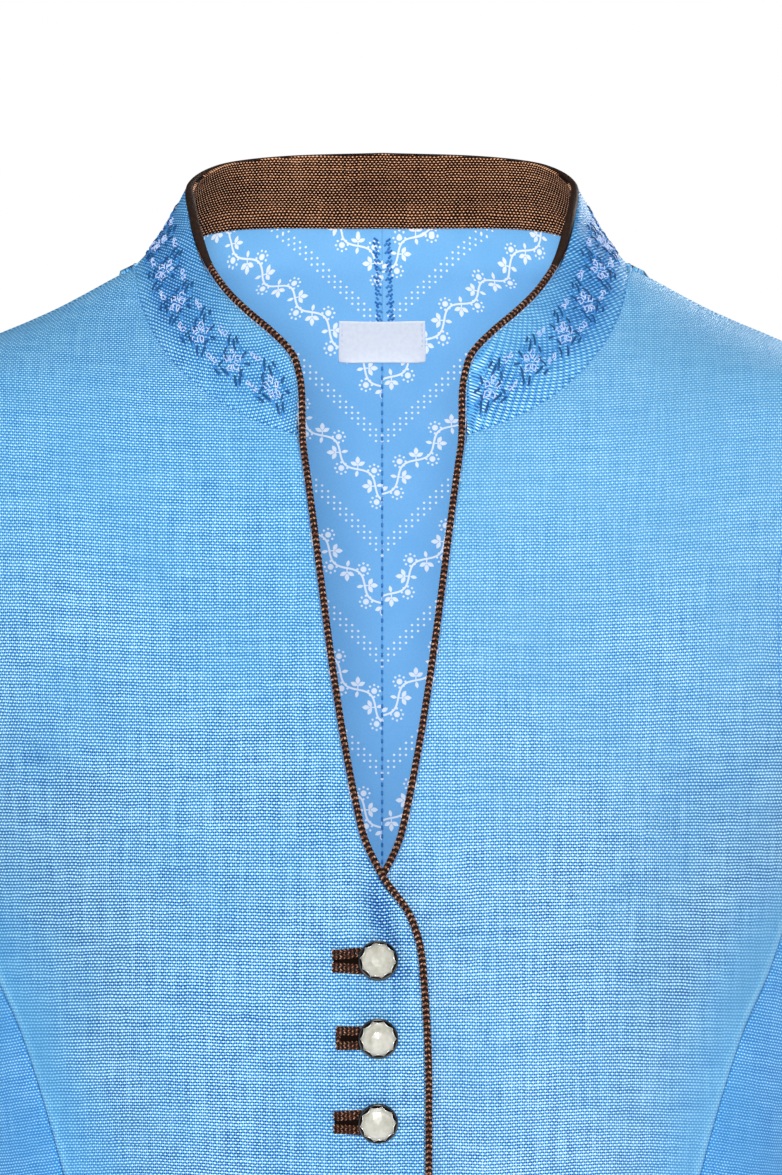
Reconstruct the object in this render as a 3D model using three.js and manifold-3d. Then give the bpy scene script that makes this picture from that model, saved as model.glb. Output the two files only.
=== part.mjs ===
// A dirndl on a general figure, worn shape with no wearer: a fitted linen bodice with a stand
// collar, a deep narrow V that closes right over left with six buttons in bound buttonholes, a
// printed lining in the back, an edging cord round the opening, and a gathered skirt.
//
// Millimetres, +Z up, +X to the wearer's left, the front towards -Y. The origin lies between the
// two points where the shoulder seams meet the collar.
import * as THREE from 'three';
import Module from 'manifold-3d';

const wasm = await Module();
wasm.setup();

// ---------------------------------------------------------------- driving dimensions
const SEAM_GAP = 0.3; // between pieces that are sewn together
const LINEN = 1.6; // wall of the bodice and the collar
const LINING = 1.0; // wall of the printed lining and the collar facing
const SKIRT_CLOTH = 1.2;
const LABEL_CLOTH = 0.8;

const NECK_HALF = 87; // neck seam, half its width at the shoulder points
const NECK_DROP = 64; // how far the neck seam would fall at the centre front
const NAPE_RISE = 12; // how far the neck seam rises at the centre back
const NAPE_POWER = 6; // how flat the neck seam runs across the back
const COLLAR_LEAN = 0.85; // how steeply the collar leans in from the panels at the sides
const TIP_Z = -40; // shoulder tip
const SPLIT_Z = -180; // where the shaped front seam leaves the armhole
const ARMPIT_Z = -198;
const WAIST_Z = -410;
const SKIRT_LENGTH = 700;

const BUST_FULLNESS = 12; // how far the shaped seams push the front out
const BUST = { x: 82, z: -260, wide: 44, high: 60 };

const CORD_RADIUS = 1.35;
const CORD_STEPS = 64;
const CORD_SIDES = 6;
const CORD_STOP_Z = -211; // the left cord ends against the right one, at the foot of the V

const BUTTON = { count: 6, first: -244, spacing: 28.5, x: -1, radius: 7, lift: 1.5 };
const HOLE = { from: -16.6, to: 1.6, end: 1.5, slit: 1.6, lip: 3.1, rise: 1.1 };
const LABEL = { wide: 31, top: -20, high: 14.5 };

// Level sections of the bodice: half the width, and how far the front and the back stand from
// the plane of the shoulder seams.
const SECTIONS = [
  { z: 12, half: 87, front: 12, back: 60 },
  { z: 0, half: 87, front: 20, back: 63 },
  { z: -5, half: 95.5, front: 27, back: 65 },
  { z: -10, half: 104.5, front: 32, back: 67 },
  { z: -15, half: 114, front: 37, back: 69 },
  { z: -20, half: 125, front: 42, back: 71 },
  { z: -25, half: 137, front: 47, back: 73 },
  { z: -32, half: 152, front: 54, back: 76 },
  { z: -40, half: 166, front: 61, back: 79 },
  { z: -55, half: 176, front: 72, back: 85 },
  { z: -80, half: 180, front: 85, back: 93 },
  { z: -115, half: 178, front: 98, back: 101 },
  { z: -150, half: 170, front: 109, back: 106 },
  { z: -198, half: 160, front: 121, back: 107 },
  { z: -262, half: 160, front: 128, back: 98 },
  { z: -330, half: 148, front: 120, back: 85 },
  { z: -380, half: 135, front: 106, back: 79 },
  { z: -410, half: 132, front: 101, back: 80 },
];

// Seams and edges of the bodice, as how far they lie from the centre on their own side.
const OPENING = [
  { z: -60, x: 28.3 },
  { z: -198, x: 7.2 },
  { z: -215, x: -0.4 },
  { z: -229, x: -10.2 },
  { z: -243, x: -14 },
  { z: -290, x: -16.4 },
  { z: -410, x: -16 },
];
const FRONT_ARMHOLE = [
  { z: -40, x: 166 },
  { z: -55, x: 157 },
  { z: -80, x: 149 },
  { z: -115, x: 143.5 },
  { z: -150, x: 144 },
  { z: -180, x: 148.5 },
];
const BACK_ARMHOLE = [
  { z: -40, x: 166 },
  { z: -60, x: 158 },
  { z: -90, x: 152 },
  { z: -130, x: 150 },
  { z: -165, x: 153 },
  { z: -198, x: 160 },
];
const SHAPED_SEAM = [
  { z: -180, x: 148.5 },
  { z: -215, x: 146 },
  { z: -247, x: 137 },
  { z: -270, x: 127 },
  { z: -305, x: 116 },
  { z: -350, x: 105 },
  { z: -410, x: 94 },
];

// The upper edge of the collar, by the turn round the neck from the centre front, in degrees.
const COLLAR_EDGE = [
  { turn: 18.9, x: 28.8, y: -68, z: -43 },
  { turn: 24, x: 32, y: -65, z: -32 },
  { turn: 32, x: 39.5, y: -59, z: -23.5 },
  { turn: 45, x: 48.5, y: -49, z: -15.5 },
  { turn: 60, x: 56, y: -38, z: -7.5 },
  { turn: 75, x: 62.3, y: -25, z: 1.5 },
  { turn: 90, x: 67, y: -8, z: 14.5 },
  { turn: 110, x: 69.2, y: 14, z: 24.4 },
  { turn: 135, x: 58, y: 37, z: 33 },
  { turn: 160, x: 30, y: 50.5, z: 36.5 },
  { turn: 180, x: 0, y: 54, z: 37.4 },
];

// The skirt, from the waist (down = 0) to the hem (down = 1); fold is half the height of a fold.
const SKIRT = [
  { down: 0, half: 132, front: 101, back: 80, fold: 1.5 },
  { down: 0.04, half: 147, front: 116, back: 97, fold: 5 },
  { down: 0.1, half: 168, front: 136, back: 122, fold: 8 },
  { down: 0.22, half: 200, front: 167, back: 160, fold: 12 },
  { down: 0.42, half: 238, front: 205, back: 203, fold: 17 },
  { down: 0.7, half: 284, front: 250, back: 250, fold: 23 },
  { down: 1, half: 328, front: 292, back: 292, fold: 28 },
];
const FOLDS = 20;
const FOLD_STEPS = 6; // columns to a fold

// Rows of a bodice panel: the height at its centre edge for each row, top to bottom, and how many
// rows lie along the shoulder, the armhole and the seam below it.
const ROWS = { shoulder: 3, armhole: 5, seam: 9 };
const FRONT_ROWS = [
  -60, -78, -97, -117, -139, -161, -181, -198, -210, -222, -234, -252, -276, -302, -330, -358, -385, -410,
];
const BACK_ROWS = [
  12, -16, -45, -75, -102, -127, -149, -169, -189, -210, -233, -257, -282, -308, -334, -360, -385, -410,
];
// Columns of a panel, as shares of its width from the centre; closer where the fronts lap.
const PANEL_COLUMNS = [0, 0.07, 0.15, 0.25, 0.37, 0.51, 0.66, 0.82, 1];
const SIDE_COLUMNS = [0, 0.25, 0.5, 0.75, 1];

// ---------------------------------------------------------------- small sums
const rad = THREE.MathUtils.degToRad;
const mix = THREE.MathUtils.lerp;
const smooth = THREE.MathUtils.smoothstep;

// A smooth curve through a table's rows that never swings past them.
function along(table, key, value, column) {
  const sign = Math.sign(table[1][key] - table[0][key]);
  const at = table.map((row) => row[key] * sign);
  const want = THREE.MathUtils.clamp(value * sign, at[0], at[at.length - 1]);
  let i = 0;
  while (i < at.length - 2 && want > at[i + 1]) i += 1;
  const rise = (k) => (table[k + 1][column] - table[k][column]) / (at[k + 1] - at[k]);
  const slope = (k) => {
    if (k === 0) return rise(0);
    if (k === at.length - 1) return rise(k - 1);
    const [before, after] = [rise(k - 1), rise(k)];
    return before * after <= 0 ? 0 : (2 * before * after) / (before + after);
  };
  const step = at[i + 1] - at[i];
  const t = (want - at[i]) / step;
  const [p, q] = [table[i][column], table[i + 1][column]];
  return (
    p * (2 * t ** 3 - 3 * t ** 2 + 1) +
    q * (3 * t ** 2 - 2 * t ** 3) +
    step * (slope(i) * (t ** 3 - 2 * t ** 2 + t) + slope(i + 1) * (t ** 3 - t ** 2))
  );
}

const spread = (from, to, count) => Array.from({ length: count + 1 }, (_, i) => mix(from, to, i / count));
const shared = (from, to, shares) => shares.map((share) => mix(from, to, share));

// ---------------------------------------------------------------- the form of the bodice
// turn goes round the body from the centre front (0) to the centre back (180 degrees).
function bodyPoint(turn, z, side) {
  const half = along(SECTIONS, 'z', z, 'half');
  const x = half * Math.sin(turn);
  const facing = Math.cos(turn);
  if (facing < 0) return new THREE.Vector3(side * x, -along(SECTIONS, 'z', z, 'back') * facing, z);
  const across = (Math.abs(x) - BUST.x) / BUST.wide;
  const down = (z - BUST.z) / BUST.high;
  const fullness = BUST_FULLNESS * Math.exp(-(across ** 2) - down ** 2) * smooth(facing, 0, 0.4);
  return new THREE.Vector3(side * x, -along(SECTIONS, 'z', z, 'front') * facing - fullness, z);
}

// A place on the cloth, with the direction that faces out of it.
function onSurface(point, a, b) {
  const step = 1e-3;
  const here = point(a, b);
  const da = point(a + step, b).sub(point(a - step, b));
  const db = point(a, b + step).sub(point(a, b - step));
  return { here, out: da.cross(db).normalize() };
}

function onBody(turn, z, side) {
  const place = onSurface((a, b) => bodyPoint(a, b, side), turn, z);
  const outward = new THREE.Vector3(place.here.x, place.here.y, Math.abs(place.here.x) * 0.2);
  if (place.out.dot(outward) < 0) place.out.negate();
  return place;
}

function turnAt(x, z, back) {
  const turn = Math.asin(THREE.MathUtils.clamp(x / along(SECTIONS, 'z', z, 'half'), -1, 1));
  return back ? Math.PI - turn : turn;
}

function neckSeam(turn) {
  const x = NECK_HALF * Math.sin(turn);
  const back = Math.cos(turn) < 0;
  const z = back ? NAPE_RISE * (1 - Math.sin(turn) ** NAPE_POWER) : -NECK_DROP * Math.cos(turn);
  return { turn: turnAt(x, z, back), z };
}

const openingX = (z) => along(OPENING, 'z', z, 'x');

// The cloth ends beside the cord, square to the cord's own slant.
function clothEdgeX(z) {
  const slant = (openingX(z + 1) - openingX(z - 1)) / 2;
  return openingX(z) + (CORD_RADIUS + SEAM_GAP) * Math.hypot(1, slant);
}
const NECK_START = Math.asin(clothEdgeX(OPENING[0].z) / NECK_HALF);

// ---------------------------------------------------------------- closed walls
// Triangles from numbered corners, turned so that the body's faces point out.
function closedBody(corners, faces) {
  let volume = 0;
  for (const [a, b, c] of faces) volume += corners[a].dot(corners[b].clone().cross(corners[c]));
  const geometry = new THREE.BufferGeometry();
  geometry.setAttribute('position', new THREE.Float32BufferAttribute(corners.flatMap((p) => p.toArray()), 3));
  geometry.setIndex(faces.flatMap(([a, b, c]) => (volume > 0 ? [a, b, c] : [a, c, b])));
  return geometry;
}

// A wall between two skins: place(column, row) gives a point and its outward direction; the
// skins stand off it by outer and inner.
function wall(place, columns, rows, outer, inner) {
  const corners = [];
  for (const offset of [outer, inner]) {
    for (let row = 0; row <= rows; row += 1) {
      for (let column = 0; column <= columns; column += 1) {
        const { here, out } = place(column, row);
        corners.push(here.clone().addScaledVector(out, offset));
      }
    }
  }
  const skin = (columns + 1) * (rows + 1);
  const at = (column, row, layer) => layer * skin + row * (columns + 1) + column;
  const faces = [];
  const quad = (a, b, c, d) => faces.push([a, b, c], [a, c, d]);
  for (let row = 0; row < rows; row += 1) {
    for (let column = 0; column < columns; column += 1) {
      quad(at(column, row, 0), at(column, row + 1, 0), at(column + 1, row + 1, 0), at(column + 1, row, 0));
      quad(at(column, row, 1), at(column + 1, row, 1), at(column + 1, row + 1, 1), at(column, row + 1, 1));
    }
    quad(at(0, row, 0), at(0, row, 1), at(0, row + 1, 1), at(0, row + 1, 0));
    quad(at(columns, row, 0), at(columns, row + 1, 0), at(columns, row + 1, 1), at(columns, row, 1));
  }
  for (let column = 0; column < columns; column += 1) {
    quad(at(column, 0, 0), at(column + 1, 0, 0), at(column + 1, 0, 1), at(column, 0, 1));
    quad(at(column, rows, 0), at(column, rows, 1), at(column + 1, rows, 1), at(column + 1, rows, 0));
  }
  return closedBody(corners, faces);
}

function manifoldOf(geometry) {
  return new wasm.Manifold(
    new wasm.Mesh({
      numProp: 3,
      vertProperties: Float32Array.from(geometry.attributes.position.array),
      triVerts: Uint32Array.from(geometry.index.array),
    }),
  );
}

function cut(geometry, cutters) {
  let solid = manifoldOf(geometry);
  for (const cutter of cutters) solid = solid.subtract(manifoldOf(cutter));
  const mesh = solid.getMesh();
  const result = new THREE.BufferGeometry();
  result.setAttribute('position', new THREE.Float32BufferAttribute(mesh.vertProperties, 3));
  result.setIndex(Array.from(mesh.triVerts));
  return result;
}

// ---------------------------------------------------------------- bodice panels
// A panel is spanned between four edges, each a list of { turn, z } with the same count as the
// edge opposite, so that neighbours share the corners along their seam.
function panel({ shares, top, bottom, centre, outer }) {
  const [columns, rows] = [top.length - 1, centre.length - 1];
  const place = (column, row) => {
    const [u, v] = [shares[column], row / rows];
    const blend = (key) =>
      mix(top[column][key], bottom[column][key], v) +
      mix(centre[row][key], outer[row][key], u) -
      mix(mix(top[0][key], top[columns][key], u), mix(bottom[0][key], bottom[columns][key], u), v);
    return { turn: blend('turn'), z: blend('z') };
  };
  return Object.assign(place, { columns, rows });
}

// The outer edge of a panel: along the shoulder seam, round the armhole, then down a seam.
function outerEdge(armhole, armholeEnd, seam, back) {
  const shoulder = spread(0, TIP_Z, ROWS.shoulder).map((z) => ({ turn: Math.PI / 2, z }));
  const round = spread(TIP_Z, armholeEnd, ROWS.armhole).map((z) => ({
    turn: turnAt(along(armhole, 'z', z, 'x'), z, back),
    z,
  }));
  return [...shoulder, ...round.slice(1), ...seam.slice(1)];
}

const shapedSeam = spread(SPLIT_Z, WAIST_Z, ROWS.seam).map((z) => ({
  turn: turnAt(along(SHAPED_SEAM, 'z', z, 'x'), z, false),
  z,
}));
const sideSeam = spread(ARMPIT_Z, WAIST_Z, ROWS.seam).map((z) => ({ turn: Math.PI / 2, z }));
const last = (list) => list[list.length - 1];
const waist = (from, to, shares) => shared(from, to, shares).map((turn) => ({ turn, z: WAIST_Z }));

function frontPanel() {
  const centre = FRONT_ROWS.map((z) => ({ turn: turnAt(clothEdgeX(z), z, false), z }));
  const top = shared(NECK_START, Math.PI / 2, PANEL_COLUMNS).map(neckSeam);
  centre[0] = top[0];
  return panel({
    shares: PANEL_COLUMNS,
    top,
    centre,
    outer: outerEdge(FRONT_ARMHOLE, SPLIT_Z, shapedSeam, false),
    bottom: waist(last(centre).turn, last(shapedSeam).turn, PANEL_COLUMNS),
  });
}

function sideFrontPanel() {
  const arm = SIDE_COLUMNS.map((share) => ({
    turn: mix(shapedSeam[0].turn, Math.PI / 2, share),
    z: mix(SPLIT_Z, ARMPIT_Z, Math.sin((Math.PI / 2) * share)),
  }));
  return panel({
    shares: SIDE_COLUMNS,
    top: arm,
    centre: shapedSeam,
    outer: sideSeam,
    bottom: waist(last(shapedSeam).turn, Math.PI / 2, SIDE_COLUMNS),
  });
}

function backPanel() {
  return panel({
    shares: PANEL_COLUMNS,
    top: shared(Math.PI, Math.PI / 2, PANEL_COLUMNS).map(neckSeam),
    centre: BACK_ROWS.map((z) => ({ turn: Math.PI, z })),
    outer: outerEdge(BACK_ARMHOLE, ARMPIT_Z, sideSeam, true),
    bottom: waist(Math.PI, Math.PI / 2, PANEL_COLUMNS),
  });
}

// Pulls a panel's outermost rows and columns in, so that a seam keeps its gap.
function insetPlace(place, columns, rows, amount, side, sink) {
  return (column, row) => {
    const spot = place(column, row);
    const stepIn = (count, index, neighbour) => {
      if (index > 0 && index < count) return;
      const other = neighbour(index === 0 ? 1 : -1);
      const gap = onBody(spot.turn, spot.z, side).here.distanceTo(onBody(other.turn, other.z, side).here);
      spot.turn = mix(spot.turn, other.turn, amount / gap);
      spot.z = mix(spot.z, other.z, amount / gap);
    };
    stepIn(columns, column, (way) => place(column + way, row));
    stepIn(rows, row, (way) => place(column, row + way));
    const found = onBody(spot.turn, spot.z, side);
    if (sink) found.here.addScaledVector(found.out, -sink(found.here));
    return found;
  };
}

function bodicePanel(place, side, { outer = 0, inner = -LINEN, sink = null } = {}) {
  const { columns, rows } = place;
  return wall(insetPlace(place, columns, rows, SEAM_GAP / 2, side, sink), columns, rows, outer, inner);
}

// The left front sinks under the right one where they lap.
const LAP_SINK = LINEN + SEAM_GAP + 0.4;
const SHANK_END = 0.5 - LAP_SINK;
const lapSink = (here) => LAP_SINK * (1 - smooth(here.x, 22, 40)) * (1 - smooth(here.z, -205, -165));

// ---------------------------------------------------------------- collar
const COLLAR_CORD = CORD_RADIUS + 2 * SEAM_GAP; // from the collar's edge to the cord's middle
function collarPoint(turn, up, side) {
  const seam = neckSeam(turn);
  const foot = bodyPoint(seam.turn, seam.z, side);
  const degrees = THREE.MathUtils.radToDeg(turn);
  const head = new THREE.Vector3(
    side * along(COLLAR_EDGE, 'turn', degrees, 'x'),
    along(COLLAR_EDGE, 'turn', degrees, 'y'),
    along(COLLAR_EDGE, 'turn', degrees, 'z'),
  );
  const cordRoom = 1 - COLLAR_CORD / head.distanceTo(foot);
  return foot.lerp(head, up * cordRoom);
}

function onCollar(turn, up, side) {
  const place = onSurface((a, b) => collarPoint(a, b, side), turn, up);
  const outward = new THREE.Vector3(place.here.x, place.here.y, 0);
  if (place.out.dot(outward) < 0) place.out.negate();
  return place;
}

// One band round the neck, from the right front end over the centre back to the left. Its columns
// meet those of the bodice panels. The foot clears the panels, which it leans in over at the sides.
function collarBand(outer, inner) {
  const rows = 3;
  const half = [
    ...shared(NECK_START, Math.PI / 2, PANEL_COLUMNS),
    ...shared(Math.PI, Math.PI / 2, PANEL_COLUMNS).reverse().slice(1),
  ];
  const round = [...half.map((turn) => [turn, -1]), ...half.slice(0, -1).reverse().map((turn) => [turn, 1])];
  return wall(
    (column, row) => {
      const [turn, side] = round[column];
      const high = collarPoint(turn, 1, side).distanceTo(collarPoint(turn, 0, side));
      const foot = (SEAM_GAP - inner * COLLAR_LEAN * Math.sin(turn) ** 2) / high;
      return onCollar(turn, mix(foot, 1, row / rows), side);
    },
    round.length - 1,
    rows,
    outer,
    inner,
  );
}

// ---------------------------------------------------------------- edging cord
function cordLine(side) {
  const proud = -0.3;
  const points = [];
  const lowest = side < 0 ? WAIST_Z + SEAM_GAP : CORD_STOP_Z;
  const levels = FRONT_ROWS.filter((z) => z > lowest + 4 && z < OPENING[0].z - 4);
  for (const z of [lowest, ...levels.reverse()]) {
    const { here, out } = onBody(turnAt(openingX(z), z, false), z, side);
    const sink = side > 0 ? lapSink(here) : 0;
    points.push(here.addScaledVector(out, proud - sink));
  }
  const middle = -(LINEN + SEAM_GAP + LINING) / 2;
  const towardsOpening = new THREE.Vector3(-side, 0, 0);
  for (const [up, rise] of [[0.05, 0], [0.45, 0], [0.8, 0], [1, 0.6]]) {
    const { here, out } = onCollar(NECK_START, up, side);
    const away = towardsOpening.clone().setZ(rise).normalize();
    points.push(here.addScaledVector(out, middle).addScaledVector(away, COLLAR_CORD));
  }
  for (const turn of [24, 29, 36, 45, 55, 66, 78, 90, 102, 115, 128, 141, 154, 167, 179.8].map(rad)) {
    const { here, out } = onCollar(turn, 1, side);
    const run = collarPoint(turn + 0.02, 1, side).sub(collarPoint(turn - 0.02, 1, side));
    const away = out.clone().cross(run).normalize().multiplyScalar(side);
    points.push(here.addScaledVector(out, middle).addScaledVector(away, COLLAR_CORD));
  }
  return new THREE.CatmullRomCurve3(points, false, 'centripetal');
}

function cord(side) {
  const circle = new THREE.Shape(
    spread(0, CORD_SIDES - 1, CORD_SIDES - 1).map((i) => {
      const angle = (i / CORD_SIDES) * Math.PI * 2;
      return new THREE.Vector2(CORD_RADIUS * Math.cos(angle), CORD_RADIUS * Math.sin(angle));
    }),
  );
  return new THREE.ExtrudeGeometry(circle, { steps: CORD_STEPS, bevelEnabled: false, extrudePath: cordLine(side) });
}

// ---------------------------------------------------------------- buttons
function buttonPlace(index) {
  const z = BUTTON.first - BUTTON.spacing * index;
  return onBody(turnAt(-BUTTON.x, z, false), z, -1);
}

const lathe = (rows) =>
  new THREE.LatheGeometry(rows.map(({ r, h }) => new THREE.Vector2(r, h)), 14).rotateX(Math.PI / 2);

// Heights above the cloth's face; the shank reaches through the slit to the lower front.
const settingShape = () =>
  lathe([
    { r: 0, h: SHANK_END },
    { r: 0.5, h: SHANK_END },
    { r: 0.5, h: BUTTON.lift },
    { r: 6.2, h: BUTTON.lift },
    { r: BUTTON.radius, h: BUTTON.lift + 0.9 },
    { r: BUTTON.radius, h: BUTTON.lift + 2.3 },
    { r: 6.3, h: BUTTON.lift + 2.5 },
    { r: 6.1, h: BUTTON.lift + 1 },
    { r: 0, h: BUTTON.lift + 1 },
  ]);

const stoneShape = () =>
  lathe([
    { r: 0, h: BUTTON.lift + 1.3 },
    { r: 5.7, h: BUTTON.lift + 1.3 },
    { r: 5.8, h: BUTTON.lift + 2.5 },
    { r: 4.6, h: BUTTON.lift + 3.8 },
    { r: 2.4, h: BUTTON.lift + 4.6 },
    { r: 0, h: BUTTON.lift + 4.8 },
  ]);

// A button's own solids, turned to stand on the cloth.
function onButton(geometry, index) {
  const { here, out } = buttonPlace(index);
  const turn = new THREE.Quaternion().setFromUnitVectors(new THREE.Vector3(0, 0, 1), out);
  return geometry.applyQuaternion(turn).translate(here.x, here.y, here.z);
}

// A flat ring of braid round the slit, lying on the right front.
function buttonholeBinding(index) {
  const middle = BUTTON.first - BUTTON.spacing * index;
  const [near, far] = [HOLE.slit / 2, HOLE.slit / 2 + HOLE.lip];
  const [start, end] = [-HOLE.to, -HOLE.from];
  const stops = [
    { x: start, z: 1 },
    { x: mix(start, end, 0.5), z: 1 },
    { x: end, z: 1 },
    { x: end, z: 0 },
    { x: end, z: -1 },
    { x: mix(start, end, 0.5), z: -1 },
    { x: start, z: -1 },
    { x: start, z: 0 },
  ];
  const corners = [];
  for (const { x, z } of stops) {
    const inside = x === start ? x + HOLE.end : x === end ? x - HOLE.end : x;
    const ring = [
      { x: inside, z: middle + z * near, lift: SEAM_GAP },
      { x, z: middle + z * far, lift: SEAM_GAP },
      { x, z: middle + z * far, lift: HOLE.rise * 0.7 },
      { x: mix(x, inside, 0.5), z: middle + z * mix(near, far, 0.5), lift: HOLE.rise },
      { x: inside, z: middle + z * near, lift: HOLE.rise * 0.7 },
    ];
    for (const spot of ring) {
      const { here, out } = onBody(turnAt(spot.x, spot.z, false), spot.z, -1);
      corners.push(here.addScaledVector(out, spot.lift));
    }
  }
  const sides = 5;
  const faces = [];
  for (let stop = 0; stop < stops.length; stop += 1) {
    for (let i = 0; i < sides; i += 1) {
      const [a, b] = [stop * sides + i, stop * sides + ((i + 1) % sides)];
      const next = ((stop + 1) % stops.length) * sides;
      faces.push([a, next + i, next + ((i + 1) % sides)], [a, next + ((i + 1) % sides), b]);
    }
  }
  return closedBody(corners, faces);
}

// What is cut out of the right front behind each binding.
function slitCutter(index) {
  const box = new THREE.BoxGeometry(HOLE.to - HOLE.from - 2 * HOLE.end, HOLE.slit, 5 * LINEN);
  box.translate((HOLE.from + HOLE.to) / 2 - BUTTON.x, 0, 0);
  return mergedPositions(onButton(box, index));
}

// The same shape with one corner where several met, and nothing kept but its places.
function mergedPositions(geometry) {
  const places = new Map();
  const corners = [];
  const { position } = geometry.attributes;
  const number = (i) => {
    const p = new THREE.Vector3().fromBufferAttribute(position, i);
    const key = p.toArray().map((value) => value.toFixed(4)).join(' ');
    if (!places.has(key)) {
      places.set(key, corners.length);
      corners.push(p);
    }
    return places.get(key);
  };
  const index = geometry.index ? Array.from(geometry.index.array) : Array.from({ length: position.count }, (_, i) => i);
  const faces = [];
  for (let i = 0; i < index.length; i += 3) {
    const [a, b, c] = [number(index[i]), number(index[i + 1]), number(index[i + 2])];
    if (a !== b && b !== c && c !== a) faces.push([a, b, c]);
  }
  return closedBody(corners, faces);
}

// ---------------------------------------------------------------- label and skirt
function label() {
  const depth = -LINEN - LINING - 2 * SEAM_GAP;
  return wall(
    (column, row) => {
      const x = mix(-LABEL.wide / 2, LABEL.wide / 2, column / 6);
      const z = LABEL.top - LABEL.high * (row / 2);
      return onBody(turnAt(x, z, true), z, 1);
    },
    6,
    2,
    depth,
    depth - LABEL_CLOTH,
  );
}

// Folds of uneven width and height, all the way round.
function foldWave(turn) {
  const uneven = turn + 0.05 * Math.sin(3 * turn + 0.8) + 0.018 * Math.sin(7 * turn + 2);
  return Math.cos(FOLDS * uneven) * (0.78 + 0.22 * Math.sin(5 * turn + 0.6));
}

function skirtPoint(turn, down) {
  const facing = Math.cos(turn);
  const depth = along(SKIRT, 'down', down, facing > 0 ? 'front' : 'back');
  const fold = along(SKIRT, 'down', down, 'fold') * foldWave(turn);
  const out = new THREE.Vector2(Math.sin(turn), -facing);
  return new THREE.Vector3(
    along(SKIRT, 'down', down, 'half') * out.x + fold * out.x,
    depth * out.y + fold * out.y,
    WAIST_Z - SEAM_GAP - SKIRT_LENGTH * down,
  );
}

// Half of the skirt, round from one side seam to the other.
function skirtPanel(from, to) {
  const columns = (FOLDS * FOLD_STEPS) / 2;
  const rows = SKIRT.map((row) => row.down);
  const gap = SEAM_GAP / 2 / SKIRT[0].half;
  const turns = spread(from + gap, to - gap, columns);
  return wall(
    (column, row) => {
      const place = onSurface(skirtPoint, turns[column], rows[row]);
      const outward = new THREE.Vector3(Math.sin(turns[column]), -Math.cos(turns[column]), 0);
      if (place.out.dot(outward) < 0) place.out.negate();
      place.out.setZ(0).normalize();
      return place;
    },
    columns,
    rows.length - 1,
    0,
    -SKIRT_CLOTH,
  );
}

// ---------------------------------------------------------------- the garment
const finish = (color, roughness, metalness = 0) => ({ color, roughness, metalness });
const BLUE_LINEN = finish('#6cb3ea', 0.85);
const BROWN_LINEN = finish('#70452e', 0.85);
const PRINTED_COTTON = finish('#6bb0e6', 0.8);
const BROWN_BRAID = finish('#583a2c', 0.7);
const DARK_SILVER = finish('#57534f', 0.35, 1);
const CREAM_STONE = finish('#dedccf', 0.2);
const WHITE_SATIN = finish('#dbe4f1', 0.6);

const dirndl = new THREE.Group();
function add(name, geometry, look) {
  const mesh = new THREE.Mesh(mergedPositions(geometry), new THREE.MeshStandardMaterial(look));
  mesh.name = name;
  dirndl.add(mesh);
}

const slits = spread(0, BUTTON.count - 1, BUTTON.count - 1).map(slitCutter);
add('front_right', cut(bodicePanel(frontPanel(), -1), slits), BLUE_LINEN);
add('front_left', bodicePanel(frontPanel(), 1, { sink: lapSink }), BLUE_LINEN);
for (const [name, side] of [['right', -1], ['left', 1]]) {
  add(`side_front_${name}`, bodicePanel(sideFrontPanel(), side), BLUE_LINEN);
  add(`back_${name}`, bodicePanel(backPanel(), side), BLUE_LINEN);
  const behind = { outer: -LINEN - SEAM_GAP, inner: -LINEN - SEAM_GAP - LINING };
  add(`lining_${name}`, bodicePanel(backPanel(), side, behind), PRINTED_COTTON);
  add(`edging_${name}`, cord(side), BROWN_BRAID);
}

add('collar_outer', collarBand(0, -LINEN), BLUE_LINEN);
add('collar_facing', collarBand(-LINEN - SEAM_GAP, -LINEN - SEAM_GAP - LINING), BROWN_LINEN);
add('label', label(), WHITE_SATIN);

for (let index = 0; index < BUTTON.count; index += 1) {
  add(`button_setting_${index + 1}`, onButton(settingShape(), index), DARK_SILVER);
  add(`button_stone_${index + 1}`, onButton(stoneShape(), index), CREAM_STONE);
  add(`buttonhole_${index + 1}`, buttonholeBinding(index), BROWN_BRAID);
}

add('skirt_front', skirtPanel(-Math.PI / 2, Math.PI / 2), BLUE_LINEN);
add('skirt_back', skirtPanel(Math.PI / 2, Math.PI * 1.5), BLUE_LINEN);

export default dirndl;
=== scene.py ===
# %% [markdown]
# # A linen dirndl
#
# This dress is sewn from a few flat pieces of cloth: two fronts, two side fronts, two backs, a
# stand collar with its facing, a printed lining in the back, and a wide gathered skirt. A braided
# edging runs round the opening, and six buttons close the right front over the left.
#
# The solids of the frame already have the true size and place of each piece. Here each piece of
# cloth becomes a fine thin shell on the same form, and the small things that hands add later
# (braid, stitches, embroidery, button settings) become real geometry on top of it.

# %% Load the frame
import math

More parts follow.
